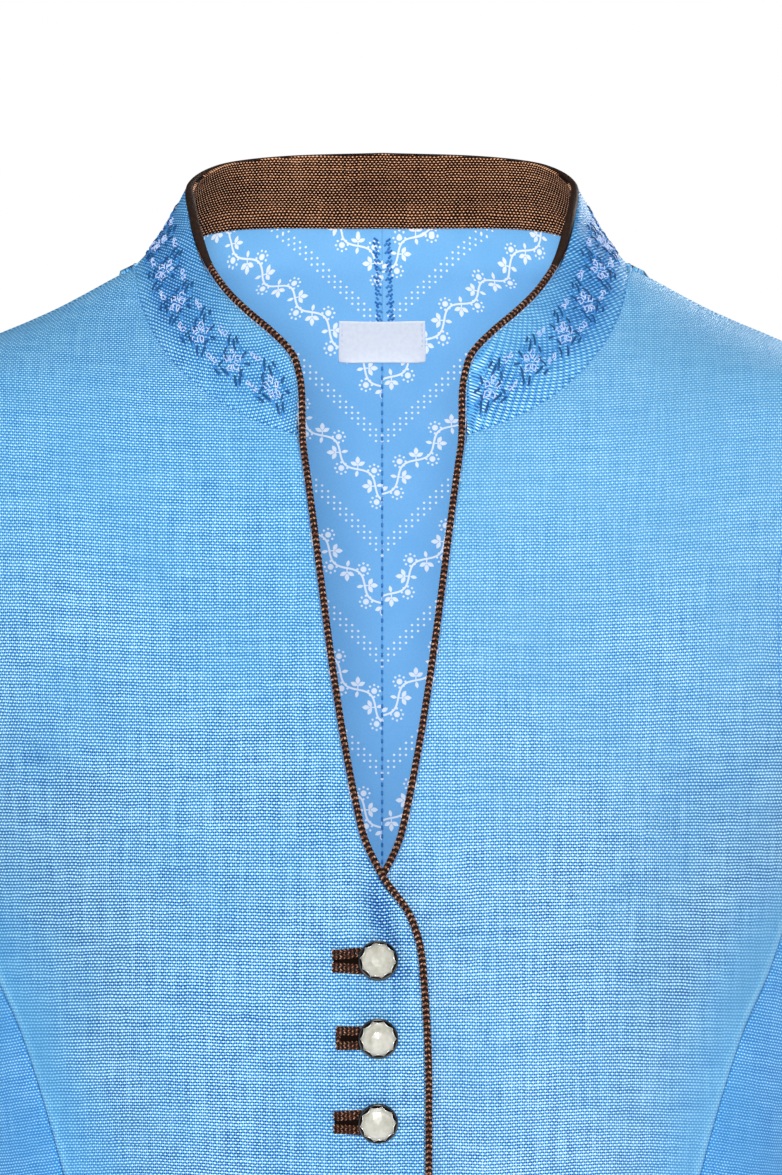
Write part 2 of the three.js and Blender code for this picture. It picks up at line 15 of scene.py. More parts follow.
import bpy
import numpy as np
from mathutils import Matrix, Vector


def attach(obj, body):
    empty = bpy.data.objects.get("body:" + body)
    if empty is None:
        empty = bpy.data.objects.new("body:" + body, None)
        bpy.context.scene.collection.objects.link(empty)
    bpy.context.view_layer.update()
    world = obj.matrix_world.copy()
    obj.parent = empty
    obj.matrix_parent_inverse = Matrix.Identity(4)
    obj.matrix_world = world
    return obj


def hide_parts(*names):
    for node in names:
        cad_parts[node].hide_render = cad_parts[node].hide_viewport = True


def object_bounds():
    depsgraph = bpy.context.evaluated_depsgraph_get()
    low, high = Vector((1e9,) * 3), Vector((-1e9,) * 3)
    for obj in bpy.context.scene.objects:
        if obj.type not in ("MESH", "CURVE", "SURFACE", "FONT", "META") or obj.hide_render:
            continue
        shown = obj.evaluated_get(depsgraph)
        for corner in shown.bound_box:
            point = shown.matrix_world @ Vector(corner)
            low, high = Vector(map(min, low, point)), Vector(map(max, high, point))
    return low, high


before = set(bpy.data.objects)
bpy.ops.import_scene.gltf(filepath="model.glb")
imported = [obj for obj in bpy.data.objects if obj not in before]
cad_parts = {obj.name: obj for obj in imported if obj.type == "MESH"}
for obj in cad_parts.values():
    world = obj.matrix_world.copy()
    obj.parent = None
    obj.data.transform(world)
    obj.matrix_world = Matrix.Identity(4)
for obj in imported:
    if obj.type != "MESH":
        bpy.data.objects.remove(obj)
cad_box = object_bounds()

MM = 0.001
print("frame:", len(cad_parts), "solids,", [round(float(v), 3) for v in cad_box[1]])

# %% [markdown]
# ## Camera, light and floor
#
# The dress is seen straight from the front and close up, with the opening in the middle. A long
# lens far away keeps the shoulders and the bust at one scale, as in a pattern drawing.

# %% Camera
VIEW_HIGH = 411.25 * MM  # what the view takes in, upright, on a plane through the bodice
VIEW_MIDDLE = (3.15 * MM, -113.9 * MM)
VIEW_FROM, VIEW_PLANE = 12.0, 0.1  # the lens's distance from that plane, and the plane's from y = 0
SENSOR = 36.0


def make_camera():
    data = bpy.data.cameras.new("camera")
    data.sensor_width = SENSOR
    data.lens = SENSOR * VIEW_FROM / VIEW_HIGH
    data.clip_end = 100
    camera = bpy.data.objects.new("camera", data)
    camera.location = (VIEW_MIDDLE[0], -VIEW_FROM - VIEW_PLANE, VIEW_MIDDLE[1])
    camera.rotation_euler = (math.radians(90), 0, 0)
    bpy.context.collection.objects.link(camera)
    bpy.context.scene.camera = camera


make_camera()
bpy.context.scene.view_settings.view_transform = "Standard"


# %% A node, a colour and a material
def linear(code):
    """A hex colour as the linear red, green, blue and alpha that Blender's sockets take."""
    parts = [int(code[i : i + 2], 16) / 255 for i in (1, 3, 5)]
    return [p / 12.92 if p <= 0.04045 else ((p + 0.055) / 1.055) ** 2.4 for p in parts] + [1.0]


def add(tree, kind, *values, tones=(), **settings):
    """Adds one node, or goes on with one that is there, sets it up and links it. A sum such as
    ("MULTIPLY", a, b) is a Math node. A setting that starts with a capital is for the socket of
    that name, any other is the node's own; tones are the places and colours of a ramp."""
    if isinstance(kind, tuple):
        kind, values, settings["operation"] = "ShaderNodeMath", kind[1:], kind[0]
    node = tree.nodes.new(kind) if isinstance(kind, str) else kind
    for name in [name for name in settings if name[0].islower()]:
        setattr(node, name, settings.pop(name))
    for name, value in [*enumerate(values), *settings.items()]:
        if isinstance(name, str):
            label = name.replace("_", " ")
            name = next(k for k, s in enumerate(node.inputs) if s.enabled and s.name == label)
        if isinstance(value, tuple) and isinstance(value[0], str):
            value = add(tree, value)
        if isinstance(value, bpy.types.Node):
            value = next(socket for socket in value.outputs if socket.enabled)
        if isinstance(value, bpy.types.NodeSocket):
            tree.links.new(value, node.inputs[name])
        elif value is not None:
            colour = isinstance(value, str) and value.startswith("#")
            node.inputs[name].default_value = linear(value) if colour else value
    while tones and len(node.color_ramp.elements) < len(tones):
        node.color_ramp.elements.new(0.5)
    for k, (place, colour) in enumerate(tones):
        node.color_ramp.elements[k].position = place
        node.color_ramp.elements[k].color = linear(colour)
    return node


def material(name, **sockets):
    """A new material: its node tree and its shader, with these values on the shader's sockets."""
    made = bpy.data.materials.new(name)
    made.use_nodes = True
    tree = made.node_tree
    return made, tree, add(tree, tree.nodes["Principled BSDF"], **sockets)


def two_tones(name, dark, light, grain, detail=2.0, deep=0.0, **sockets):
    """A material that wanders between two tones, so that it never looks flat, and rises with them."""
    made, tree, shader = material(name, **sockets)
    place = add(tree, "ShaderNodeTexCoord").outputs["Object"]
    noise = add(tree, "ShaderNodeTexNoise", Vector=place, Scale=grain, Detail=detail)
    tint = add(tree, "ShaderNodeMix", data_type="RGBA", Factor=noise, A=dark, B=light)
    add(tree, shader, Base_Color=tint)
    if deep:
        bump = add(tree, "ShaderNodeBump", Height=noise, Distance=deep * MM, Strength=0.7)
        add(tree, shader, Normal=bump)
    return made


# %% Light and floor
FLOOR_DROP = 45 * MM
FLOOR_WIDE, FLOOR_DEEP = 30.0, 8.2
PAPER = "#F4F5F6"
AMBIENT, MIRRORED = 0.42, 0.1  # what the surround gives as plain light, and what shines in it


def make_light(name, place, aim, size, watts):
    """A white disk of light that faces its aim."""
    data = bpy.data.lights.new(name, "AREA")
    data.shape, data.size, data.energy = "DISK", size, watts
    light = bpy.data.objects.new(name, data)
    light.location = place
    direction = np.array(aim) - np.array(place)
    level = math.hypot(direction[0], direction[1])
    light.rotation_euler = (math.atan2(level, -direction[2]), 0, math.atan2(-direction[0], direction[1]))
    bpy.context.collection.objects.link(light)


def make_floor():
    low = cad_box[0][2] - FLOOR_DROP
    x, y = FLOOR_WIDE / 2, FLOOR_DEEP / 2
    corners = [(-x, -y, low), (x, -y, low), (x, y, low), (-x, y, low)]
    mesh = bpy.data.meshes.new("floor")
    mesh.from_pydata(corners, [], [(0, 1, 2, 3)])
    floor = bpy.data.objects.new("floor", mesh)
    bpy.context.collection.objects.link(floor)
    # Paper scatters all its light and has no gloss, so the shadow under the hem stays soft.
    glow = {"Emission_Color": PAPER, "Emission_Strength": 0.3}
    mesh.materials.append(two_tones("Matt paper", PAPER, "#EDEEF0", 40.0, 3.0, Roughness=0.9, **glow))


def make_world():
    """A white surround: full white where the camera sees it, softer as a light."""
    world = bpy.data.worlds.new("studio")
    bpy.context.scene.world = world
    world.use_nodes = True
    tree = world.node_tree
    tree.nodes.clear()
    path = add(tree, "ShaderNodeLightPath")
    strength = ("MULTIPLY_ADD", path.outputs["Is Camera Ray"], 1.0 - AMBIENT, AMBIENT)
    strength = ("MULTIPLY_ADD", path.outputs["Is Glossy Ray"], MIRRORED - AMBIENT, strength)
    surround = add(tree, "ShaderNodeBackground", "#FFFFFF", strength)
    add(tree, "ShaderNodeOutputWorld", surround)


make_light("front", (-0.1, -4.2, 0.1), (0, 0, -0.2), 0.9, 119)
make_light("above", (0, -0.8, 2.6), (0, 0, -0.1), 1.3, 24)
make_light("right fill", (2.2, -1.6, 0.5), (0, 0, -0.3), 1.2, 4)
make_light("left fill", (-2.2, -1.6, 0.7), (0, 0, -0.3), 1.2, 5)
make_light("behind", (1.7, 2.9, 1.0), (0, 0, -0.4), 1.4, 78)
make_floor()
make_world()

# %% [markdown]
# ## The form of the bodice
#
# A pattern cutter thinks of the body in level sections: how wide it is at each height, and how far
# the front and the back stand from the line of the shoulder seams. A few such rows, joined by a
# smooth curve, give the whole form. Seams and edges are then drawn on it by their distance from
# the centre. All sizes are millimetres, in the frame's own axes, and become metres only when a
# mesh is made.


# %% Sections, seams and edges
def table(columns, *rows):
    return dict(zip(columns.split(), np.array(rows, float).T))


NECK_HALF, NECK_DROP, NAPE_RISE, NAPE_POWER = 87, 64, 12, 6
TOP_Z, TIP_Z, SPLIT_Z, ARMPIT_Z, WAIST_Z = -0.2, -40, -180, -198, -410
SKIRT_LENGTH, HEM_FOLDS = 700, 20
SEAM_GAP, LINEN, LINING, SKIRT_CLOTH = 0.3, 1.6, 1.0, 1.2
CORD_RADIUS = 1.35
BUST_FULLNESS = 12
BUST = {"x": 82, "z": -260, "wide": 44, "high": 60}

SECTIONS = table(
    "z half front back",
    (12, 87, 12, 60),
    (0, 87, 20, 63),
    (-5, 95.5, 27, 65),
    (-10, 104.5, 32, 67),
    (-15, 114, 37, 69),
    (-20, 125, 42, 71),
    (-25, 137, 47, 73),
    (-32, 152, 54, 76),
    (-40, 166, 61, 79),
    (-55, 176, 72, 85),
    (-80, 180, 85, 93),
    (-115, 178, 98, 101),
    (-150, 170, 109, 106),
    (-198, 160, 121, 107),
    (-262, 160, 128, 98),
    (-330, 148, 120, 85),
    (-380, 135, 106, 79),
    (-410, 132, 101, 80),
)
SIDES = {"right": -1, "left": 1}  # the wearer's, as the sign of x
OPENING = table(
    "z x", (-60, 28.3), (-198, 7.2), (-215, -0.4), (-229, -10.2), (-243, -14), (-290, -16.4), (-410, -16)
)
FRONT_ARMHOLE = table("z x", (-40, 166), (-55, 157), (-80, 149), (-115, 143.5), (-150, 144), (-180, 148.5))
BACK_ARMHOLE = table("z x", (-40, 166), (-60, 158), (-90, 152), (-130, 150), (-165, 153), (-198, 160))
SHAPED_SEAM = table(
    "z x", (-180, 148.5), (-215, 146), (-247, 137), (-270, 127), (-305, 116), (-350, 105), (-410, 94)
)
COLLAR_EDGE = table(
    "turn x y z",
    (18.9, 28.8, -68, -43),
    (24, 32, -65, -32),
    (32, 39.5, -59, -23.5),
    (45, 48.5, -49, -15.5),
    (60, 56, -38, -7.5),
    (75, 62.3, -25, 2.4),
    (90, 67, -8, 16.5),
    (110, 69.2, 14, 27),
    (135, 58, 37, 35.5),
    (160, 30, 50.5, 38.9),
    (180, 0, 54, 39.8),
)


# %% Curves through the tables
def smooth(value, low, high):
    t = np.clip((value - low) / (high - low), 0, 1)
    return t * t * (3 - 2 * t)


def mix(a, b, share):
    return a + (b - a) * share


def hill(value, middle, half):
    """1 at the middle, and soon 0 on both sides of it."""
    return np.exp(-(((value - middle) / half) ** 2))


def along(rows, value, column, key="z"):
    """A smooth curve through a table's rows that never swings past them."""
    at, to = rows[key], rows[column]
    if at[0] > at[-1]:
        at, to = at[::-1], to[::-1]
    step = np.diff(at)
    rise = np.diff(to) / step
    product, total = rise[:-1] * rise[1:], rise[:-1] + rise[1:]
    inner = np.where(product > 0, 2 * product / np.where(product > 0, total, 1), 0)
    slope = np.concatenate([rise[:1], inner, rise[-1:]])
    value = np.clip(value, at[0], at[-1])
    i = np.clip(np.searchsorted(at, value, side="right") - 1, 0, len(step) - 1)
    t = (value - at[i]) / step[i]
    ends = to[i] * (2 * t**3 - 3 * t**2 + 1) + to[i + 1] * (3 * t**2 - 2 * t**3)
    return ends + step[i] * (slope[i] * (t**3 - 2 * t**2 + t) + slope[i + 1] * (t**3 - t**2))


# %% Points of the bodice's face
def body_point(turn, z, side):
    """turn goes round from the centre front (0) to the centre back (pi); side is -1 or 1."""
    facing = np.cos(turn)
    x = along(SECTIONS, z, "half") * np.sin(turn)
    across, down = (np.abs(x) - BUST["x"]) / BUST["wide"], (z - BUST["z"]) / BUST["high"]
    fullness = BUST_FULLNESS * np.exp(-(across**2) - down**2) * smooth(facing, 0, 0.4)
    front = -along(SECTIONS, z, "front") * facing - fullness
    back = -along(SECTIONS, z, "back") * facing
    return np.stack(np.broadcast_arrays(side * x, np.where(facing < 0, back, front), z), -1)


def unit(vectors):
    return vectors / np.maximum(np.linalg.norm(vectors, axis=-1, keepdims=True), 1e-12)


def walked(points):
    """How far along a line each of its points lies."""
    steps = np.linalg.norm(np.diff(points, axis=0), axis=-1)
    return np.concatenate([np.zeros_like(steps[:1]), np.cumsum(steps, axis=0)])


def facing_out(point, a, b, outward):
    """Points of a surface point(a, b), with the unit directions that face out of it."""
    step = 1e-3
    here = point(a, b)
    out = unit(np.cross(point(a + step, b) - point(a - step, b), point(a, b + step) - point(a, b - step)))
    flip = np.sum(out * outward(here), -1, keepdims=True) < 0
    return here, np.where(flip, -out, out)


def on_body(turn, z, side):
    def outward(p):
        return np.stack([p[..., 0], p[..., 1], np.abs(p[..., 0]) * 0.2], -1)

    return facing_out(lambda a, b: body_point(a, b, side), turn, z, outward)


def turn_at(x, z, back=False):
    turn = np.arcsin(np.clip(x / along(SECTIONS, z, "half"), -1, 1))
    return math.pi - turn if back else turn


def neck_seam(turn):
    """The turn and height on the bodice of the neck seam, at this turn round the neck."""
    x = NECK_HALF * np.sin(turn)
    back = np.cos(turn) < 0
    z = np.where(back, NAPE_RISE * (1 - np.sin(turn) ** NAPE_POWER), -NECK_DROP * np.cos(turn))
    return np.where(back, turn_at(x, z, True), turn_at(x, z)), z


def opening_x(z):
    return along(OPENING, z, "x")


def cloth_edge_x(z):
    slant = (opening_x(z + 1) - opening_x(z - 1)) / 2
    return opening_x(z) + (CORD_RADIUS + SEAM_GAP) * np.hypot(1, slant)


NECK_START = math.asin(cloth_edge_x(-60.0) / NECK_HALF)
LAP_SINK = LINEN + SEAM_GAP + 1.6
LAP_X, LAP_Z = (22, 40), (-205, -165)  # where the lap fades out, towards the left arm and upwards


def lap_sink(here):
    """How far the left front sinks under the right one where they lap."""
    return LAP_SINK * (1 - smooth(here[..., 0], *LAP_X)) * (1 - smooth(here[..., 2], *LAP_Z))


def collar_point(turn, up, side):
    """up goes from the neck seam (0) to where the edging's middle runs (1)."""
    foot = body_point(*neck_seam(turn), side)
    columns = [along(COLLAR_EDGE, np.degrees(turn), name, "turn") for name in "xyz"]
    head = np.stack([side * columns[0], columns[1], columns[2]], -1)
    high = np.linalg.norm(head - foot, axis=-1)
    share = up * (1 - (CORD_RADIUS + 2 * SEAM_GAP) / high)
    return mix(foot, head, share[..., None])


def collar_height(turn, side):
    foot, head = (collar_point(turn, up + 0 * turn, side) for up in (0, 1))
    return np.linalg.norm(head - foot, axis=-1)


def on_collar(turn, up, side):
    return facing_out(lambda a, b: collar_point(a, b, side), turn, up, lambda p: p * [1, 1, 0])


print("neck opening starts", round(math.degrees(NECK_START), 1), "degrees from the centre front")

# %% [markdown]
# ## From points to cloth
#
# A panel is spanned between its four edges, as a net of points on the form. Close to a sewn edge
# the cloth rolls down into the seam, so the net is finer there. Each point also keeps its place on
# the flat cloth, in millimetres, because a weave must not stretch with the shape. A Solidify
# modifier then gives the cloth its thickness, inwards from the face.


# %% A net of points becomes a shell
NET_STEP = 3.2
RIM_STEPS = (0.5, 1.1, 1.9, 3.0)


def graded(length):
    """Shares from 0 to 1 along that many millimetres, with a few close ones at both ends."""
    inner = np.linspace(0, 1, max(3, round(length / NET_STEP)) + 1)
    clear = RIM_STEPS[-1] + NET_STEP * 0.4
    inner = inner[(inner * length > clear) & (inner * length < length - RIM_STEPS[-1] - NET_STEP * 0.4)]
    near = np.array([0, *RIM_STEPS]) / length
    return np.concatenate([near, inner, 1 - near[::-1]])


def edge_distance(points):
    """How far each point of a net is from its first and last column and its first and last row."""
    found = []
    for rim in (points[:, 0], points[:, -1], points[0], points[-1]):
        fine = [mix(rim[:-1], rim[1:], share) for share in (0, 0.25, 0.5, 0.75)]
        fine = np.concatenate([*fine, rim[-1:]])
        found.append(np.min(np.linalg.norm(points[..., None, :] - fine, axis=-1), axis=-1))
    return found


def net_faces(rows, columns):
    number = np.arange(rows * columns).reshape(rows, columns)
    return np.stack([number[:-1, :-1], number[1:, :-1], number[1:, 1:], number[:-1, 1:]], -1).reshape(-1, 4)


def ring_faces(rows, sides, first=0):
    """The faces between rings of points, and the number of each ring's points."""
    number = np.arange(rows * sides).reshape(rows, sides) + first
    after = np.roll(number, -1, axis=1)
    return np.stack([number[:-1], after[:-1], after[1:], number[1:]], -1).reshape(-1, 4).tolist(), number


def mark(mesh, name, values, kind="FLOAT"):
    """Keeps a value, or a direction, for each point of the mesh, under this name."""
    layer = mesh.attributes.new(name, kind, "POINT")
    layer.data.foreach_set("value" if kind == "FLOAT" else "vector", np.asarray(values, np.float32).ravel())


def mesh_object(name, points, faces, flat=None, finish=None, keep_smooth=True):
    """A mesh from points in millimetres; flat is each point's place on the flat cloth."""
    mesh = bpy.data.meshes.new(name)
    places = (np.asarray(points) * MM).reshape(-1, 3).tolist()
    mesh.from_pydata(places, [], [list(map(int, face)) for face in faces])
    if flat is not None:
        layer = mesh.uv_layers.new(name="cloth")
        loops = np.empty(len(mesh.loops), int)
        mesh.loops.foreach_get("vertex_index", loops)
        layer.data.foreach_set("uv", np.asarray(flat, float).reshape(-1, 2)[loops].ravel())
    mesh.polygons.foreach_set("use_smooth", np.full(len(mesh.polygons), keep_smooth))
    if finish:
        mesh.materials.append(finish)
    piece = bpy.data.objects.new(name, mesh)
    bpy.context.collection.objects.link(piece)
    return piece


def face_out(points, out, quads):
    """Turns all the quads round if they face into the cloth."""
    a, b, c = (points.reshape(-1, 3)[quads[:, k]] for k in (0, 1, 2))
    agree = np.sum(np.cross(b - a, c - a) * out.reshape(-1, 3)[quads[:, 0]], -1)
    return quads if np.sum(agree) > 0 else quads[:, ::-1]


def shell(name, points, out, flat, finish, thick, **marks):
    """The net as cloth of this thickness. The marks are for its material: how much painted shade and a
    dark seam line darken the cloth at each point, below 0 a painted highlight, and how flat it is pressed
    there (ironed)."""
    rows, columns = points.shape[:2]
    quads = face_out(points, out, net_faces(rows, columns))
    piece = mesh_object(name, points, quads, flat, finish)
    for label, values in marks.items():
        mark(piece.data, label, values)
    wall = piece.modifiers.new("thickness", "SOLIDIFY")
    wall.thickness = thick * MM
    wall.offset = -1
    wall.use_rim = True
    return piece


# %% The place of each point on the flat cloth
SAMPLES = 20
GRAIN_START_Z = -200
NEAR_SIDE = 0.985  # a path down the form keeps this share of the half width, short of the side


def flat_place(points, back):
    """Across: round the form at one height. Along: down the form at one distance from the centre."""
    x, z = np.abs(points[..., 0]), points[..., 2]
    shares = np.linspace(0, 1, SAMPLES)

    def path(turns, heights):
        line = body_point(turns, heights, 1)
        return np.sum(np.linalg.norm(np.diff(line, axis=-2), axis=-1), -1)

    turn = turn_at(x, z)[..., None] * shares
    turn = math.pi - turn if back else turn
    across = path(turn, np.broadcast_to(z[..., None], turn.shape)) * np.sign(points[..., 0])
    heights = mix(GRAIN_START_Z, z[..., None], shares)
    reach = along(SECTIONS, heights, "half") * NEAR_SIDE
    turn = turn_at(np.minimum(x[..., None], reach), heights, back)
    return np.stack([across, path(turn, heights) * np.sign(z - GRAIN_START_Z)], -1)


# %% [markdown]
# ## Linen
#
# Linen is woven from flax, whose threads are never quite even: some are thick, some thin, and they
# wander a little. A plain weave passes each thread over one and under the next, so the cloth is a
# checkerboard of small crowns with holes between them. The height of the weave comes from two
# cosines, one across each set of threads, and their product says which thread is on top. That
# height drives the bump, and the colour: painted shade in the holes, the threads' own blue, and a
# painted highlight on the crowns.

# %% Plain weave
WARP, WEFT = 0.84, 1.1  # spacing of the threads, in millimetres
HOLE_HEIGHT = -0.45
CONTRAST, MIDDLE = 0.58, -0.32  # how far apart holes and crowns are, and what is taken off both
CATCH = -0.26  # what an upright thread on top adds: it catches less light than a level one
SLUBS, ROWS_TONE = 0.6, 0.14  # what thick threads add, and the rows of level threads: lighter along them, painted shade between them
PAINTED_SHADE_AND_SEAM = -0.3  # how much darker the cloth is painted by its mark for painted shade and a dark seam line
CLOUDS = (0.86, 0.28)  # soft patches of wear: the least share of the tone, and what they add
WANDER, UNEVEN = 0.88, 0.2  # how far threads stray, in millimetres, and how much they differ
RELIEF = 0.26


def weave(tree, warp, weft):
    """The weave's height, from HOLE_HEIGHT in the holes to 1 on the crowns; which thread is on top,
    from -1 to 1; 1 along the middle of the level threads and -1 between them; and a noise that runs
    along the threads, about 0.5 on average."""
    flat = add(tree, "ShaderNodeUVMap", uv_map="cloth")
    drift = add(tree, "ShaderNodeTexNoise", Vector=flat, Scale=0.16, Detail=3.0)
    drift = add(tree, "ShaderNodeSeparateXYZ", drift.outputs["Color"])
    place = add(tree, "ShaderNodeSeparateXYZ", flat)
    u = ("MULTIPLY_ADD", ("SUBTRACT", drift.outputs[0], 0.5), WANDER, place.outputs[0])
    v = ("MULTIPLY_ADD", ("SUBTRACT", drift.outputs[1], 0.5), WANDER, place.outputs[1])
    a = add(tree, ("MULTIPLY", u, math.pi / warp))
    b = add(tree, ("MULTIPLY", v, math.pi / weft))
    over = add(tree, ("MULTIPLY", ("COSINE", a), ("COSINE", b)))
    thick = []
    for across, ahead in ((a, place.outputs[1]), (b, place.outputs[0])):
        thread = ("MULTIPLY", ("ROUND", ("DIVIDE", across, math.pi)), 3.7)
        run = add(tree, "ShaderNodeCombineXYZ", thread, ("MULTIPLY", ahead, 0.05), 0.0)
        thick.append(add(tree, "ShaderNodeTexNoise", Vector=run, Scale=1.0, Detail=2.0))
    warp_up = ("MULTIPLY_ADD", ("COSINE", ("MULTIPLY", a, 2.0)), 0.45, ("MULTIPLY", over, 0.55))
    weft_up = ("MULTIPLY_ADD", ("COSINE", ("MULTIPLY", b, 2.0)), 0.45, ("MULTIPLY", over, -0.55))
    warp_up = ("ADD", warp_up, ("MULTIPLY", ("SUBTRACT", thick[0], 0.5), UNEVEN))
    weft_up = ("ADD", weft_up, ("MULTIPLY", ("SUBTRACT", thick[1], 0.5), UNEVEN))
    height = add(tree, ("SMOOTH_MAX", warp_up, weft_up, 0.12))
    grain = add(tree, ("ADD", thick[0], thick[1]))
    rows = add(tree, ("COSINE", ("MULTIPLY", b, 2.0)))
    return height, over, rows, add(tree, ("MULTIPLY", grain, 0.5))


def linen(name, tones, spacing=(WARP, WEFT), pressed=(0.6, 1.3), **sockets):
    """Linen in these tones, as pairs of a place from hole (0) to crown (1) and a colour. pressed says
    how strongly the threads stand out at the shoulders and at the waist."""
    made, tree, shader = material(name, **sockets)
    height, over, rows, grain = weave(tree, *spacing)
    flat = add(tree, "ShaderNodeUVMap", uv_map="cloth")
    cloud = add(tree, "ShaderNodeTexNoise", Vector=flat, Scale=0.022, Detail=3.0)
    down = add(tree, "ShaderNodeSeparateXYZ", flat).outputs[1]
    ends = {"From_Min": 130.0, "From_Max": -40.0, "To_Min": pressed[0], "To_Max": pressed[1]}
    strong = add(tree, "ShaderNodeMapRange", down, **ends)
    strong = ("MULTIPLY", strong, ("MULTIPLY_ADD", cloud, 1.5, 0.25))
    ironed = add(tree, "ShaderNodeAttribute", attribute_name="ironed").outputs["Fac"]
    strong = ("MULTIPLY", strong, ("SUBTRACT", 1.0, ironed))
    level = ("DIVIDE", ("SUBTRACT", height, HOLE_HEIGHT), 1 - HOLE_HEIGHT)
    level = ("ADD", ("MULTIPLY_ADD", level, CONTRAST, MIDDLE), ("MULTIPLY", over, CATCH))
    slubs = ("MULTIPLY_ADD", ("SUBTRACT", grain, 0.5), SLUBS, ("MULTIPLY", rows, ROWS_TONE))
    level = ("ADD", level, slubs)
    # This mark darkens the cloth with painted shade in creases, round the embroidery and on the collar's
    # sides, and along a dark seam line; below 0 it lightens it as a painted highlight.
    drawn = add(tree, "ShaderNodeAttribute", attribute_name="drawn").outputs["Fac"]
    level = ("MULTIPLY_ADD", level, strong, ("MULTIPLY_ADD", drawn, PAINTED_SHADE_AND_SEAM, 0.5))
    # The ramp paints shade into the holes and a highlight onto the crowns.
    tint = add(tree, "ShaderNodeValToRGB", level, tones=tones)
    shade = ("ADD", CLOUDS[0], ("MULTIPLY", cloud, CLOUDS[1]))
    toned = add(tree, "ShaderNodeVectorMath", tint, operation="SCALE", Scale=shade)
    bump = add(tree, "ShaderNodeBump", Height=height, Distance=RELIEF * MM, Strength=1.0)
    add(tree, shader, Base_Color=toned, Normal=bump)
    return made


# Flax has a quiet gloss. The ramp runs from painted shade in the holes, through the threads' own blue, to a
# painted highlight on the crowns.
SKY = [(0.0, "#00307A"), (0.22, "#0A62B2"), (0.44, "#4CA2DE"), (0.66, "#8ED2F6"), (1.0, "#D6F7FF")]
BLUE_LINEN = linen("Sky blue linen, plain weave", SKY, Roughness=0.5, Specular_IOR_Level=0.38)
# The left front lies below the lap and is worn less, so its threads stand out less.
LEFT_LINEN = linen(
    "Sky blue linen, pressed flatter",
    [(0.0, "#00307A"), (0.22, "#1668B4"), (0.44, "#5AA7DE"), (0.66, "#9AD4F6"), (1.0, "#DAF7FF")],
    pressed=(0.4, 1.08),
    Roughness=0.5,
    Specular_IOR_Level=0.38,
)
# Under the arms the cloth is painted a darker, more saturated blue with less gloss: painted shade for the
# less light it gets there.
SHADED_SIDE_LINEN = linen(
    "Sky blue linen, painted shade under the arms",
    [(0.0, "#003A88"), (0.22, "#0E6CC0"), (0.44, "#3798E2"), (0.66, "#74C2F6"), (1.0, "#DCF8FF")],
    Roughness=0.5,
    Specular_IOR_Level=0.3,
)
# The facing's thick brown yarn takes in most of the light; its holes are painted black as shade, and its
# crowns carry a pale painted highlight.
BROWN_LINEN = linen(
    "Brown linen, plain weave",
    [(0.0, "#000000"), (0.27, "#0A0201"), (0.5, "#431D0C"), (0.72, "#85492A"), (1.0, "#FFC498")],
    spacing=(0.7, 0.92),
    pressed=(1.7, 1.7),
    Roughness=0.75,
    Specular_IOR_Level=0.12,
)
print("linen:", round(10 / WARP), "by", round(10 / WEFT), "threads to a centimetre")

# %% [markdown]
# ## Printed cotton
#
# The lining is a fine smooth cotton with a small white print: a wavy garland of flowers and
# three-leaved sprays, and between two garlands a band of three rows of dots. The print runs at 45
# degrees to the cloth, and the two backs are cut as mirror images, so the rows meet in chevrons at
# the centre back seam. A roller prints one repeat over and over, so the material works out where a
# point lies within its repeat, and draws one flower, one spray and one dot there.

# %% The repeat of the print
SLANT = math.radians(45)
ROW = 40.4  # from one garland to the next, down the centre back
GARLAND_DOWN, DOTS_DOWN = -79.4, -60.0  # the heights where a garland and a dot band meet the seam
HALF_WAVE, WAVE, LINE = 8.97, 1.95, 0.35
FLOWER = {"off": 3.85, "disc": 1.05, "ring": 2.15, "dot": 0.41, "count": 8}
DOT = {"step": 1.52, "radius": 0.42}
# Where the waves start, how far every other row is shifted, and how far the left back is.
PHASE, ROW_PHASE, LEFT_PHASE = 3.7, -3.5, -4.8
INK_EDGE = 9.0  # the ink's edge is a ninth of a millimetre wide
LEAVES = [  # in the spray's own axes: x, y, angle in degrees, length, half the width
    (1.95, 0.0, 0, 2.9, 0.8),
    (1.45, 0.15, 62, 2.75, 0.74),
    (1.45, -0.15, -62, 2.75, 0.74),
    (-0.45, 0.1, 168, 2.5, 0.6),
]
STALK = (1.9, 0.2)


def wave_row(tree, across, height, start):
    """Which row a point belongs to, and its place along and off that row's middle line."""
    rise = ("SUBTRACT", ("MULTIPLY", height, math.cos(SLANT)), ("MULTIPLY", across, math.sin(SLANT)))
    rise = ("SUBTRACT", rise, start * math.cos(SLANT))
    number = add(tree, ("ROUND", ("DIVIDE", rise, ROW * math.cos(SLANT))))
    own = ("SUBTRACT", height, ("MULTIPLY_ADD", number, ROW, start))
    s = ("ADD", ("MULTIPLY", across, math.cos(SLANT)), ("MULTIPLY", own, math.sin(SLANT)))
    t = ("SUBTRACT", ("MULTIPLY", own, math.cos(SLANT)), ("MULTIPLY", across, math.sin(SLANT)))
    return number, add(tree, s), add(tree, t)


def length_of(x, y):
    return ("SQRT", ("ADD", ("MULTIPLY", x, x), ("MULTIPLY", y, y)))


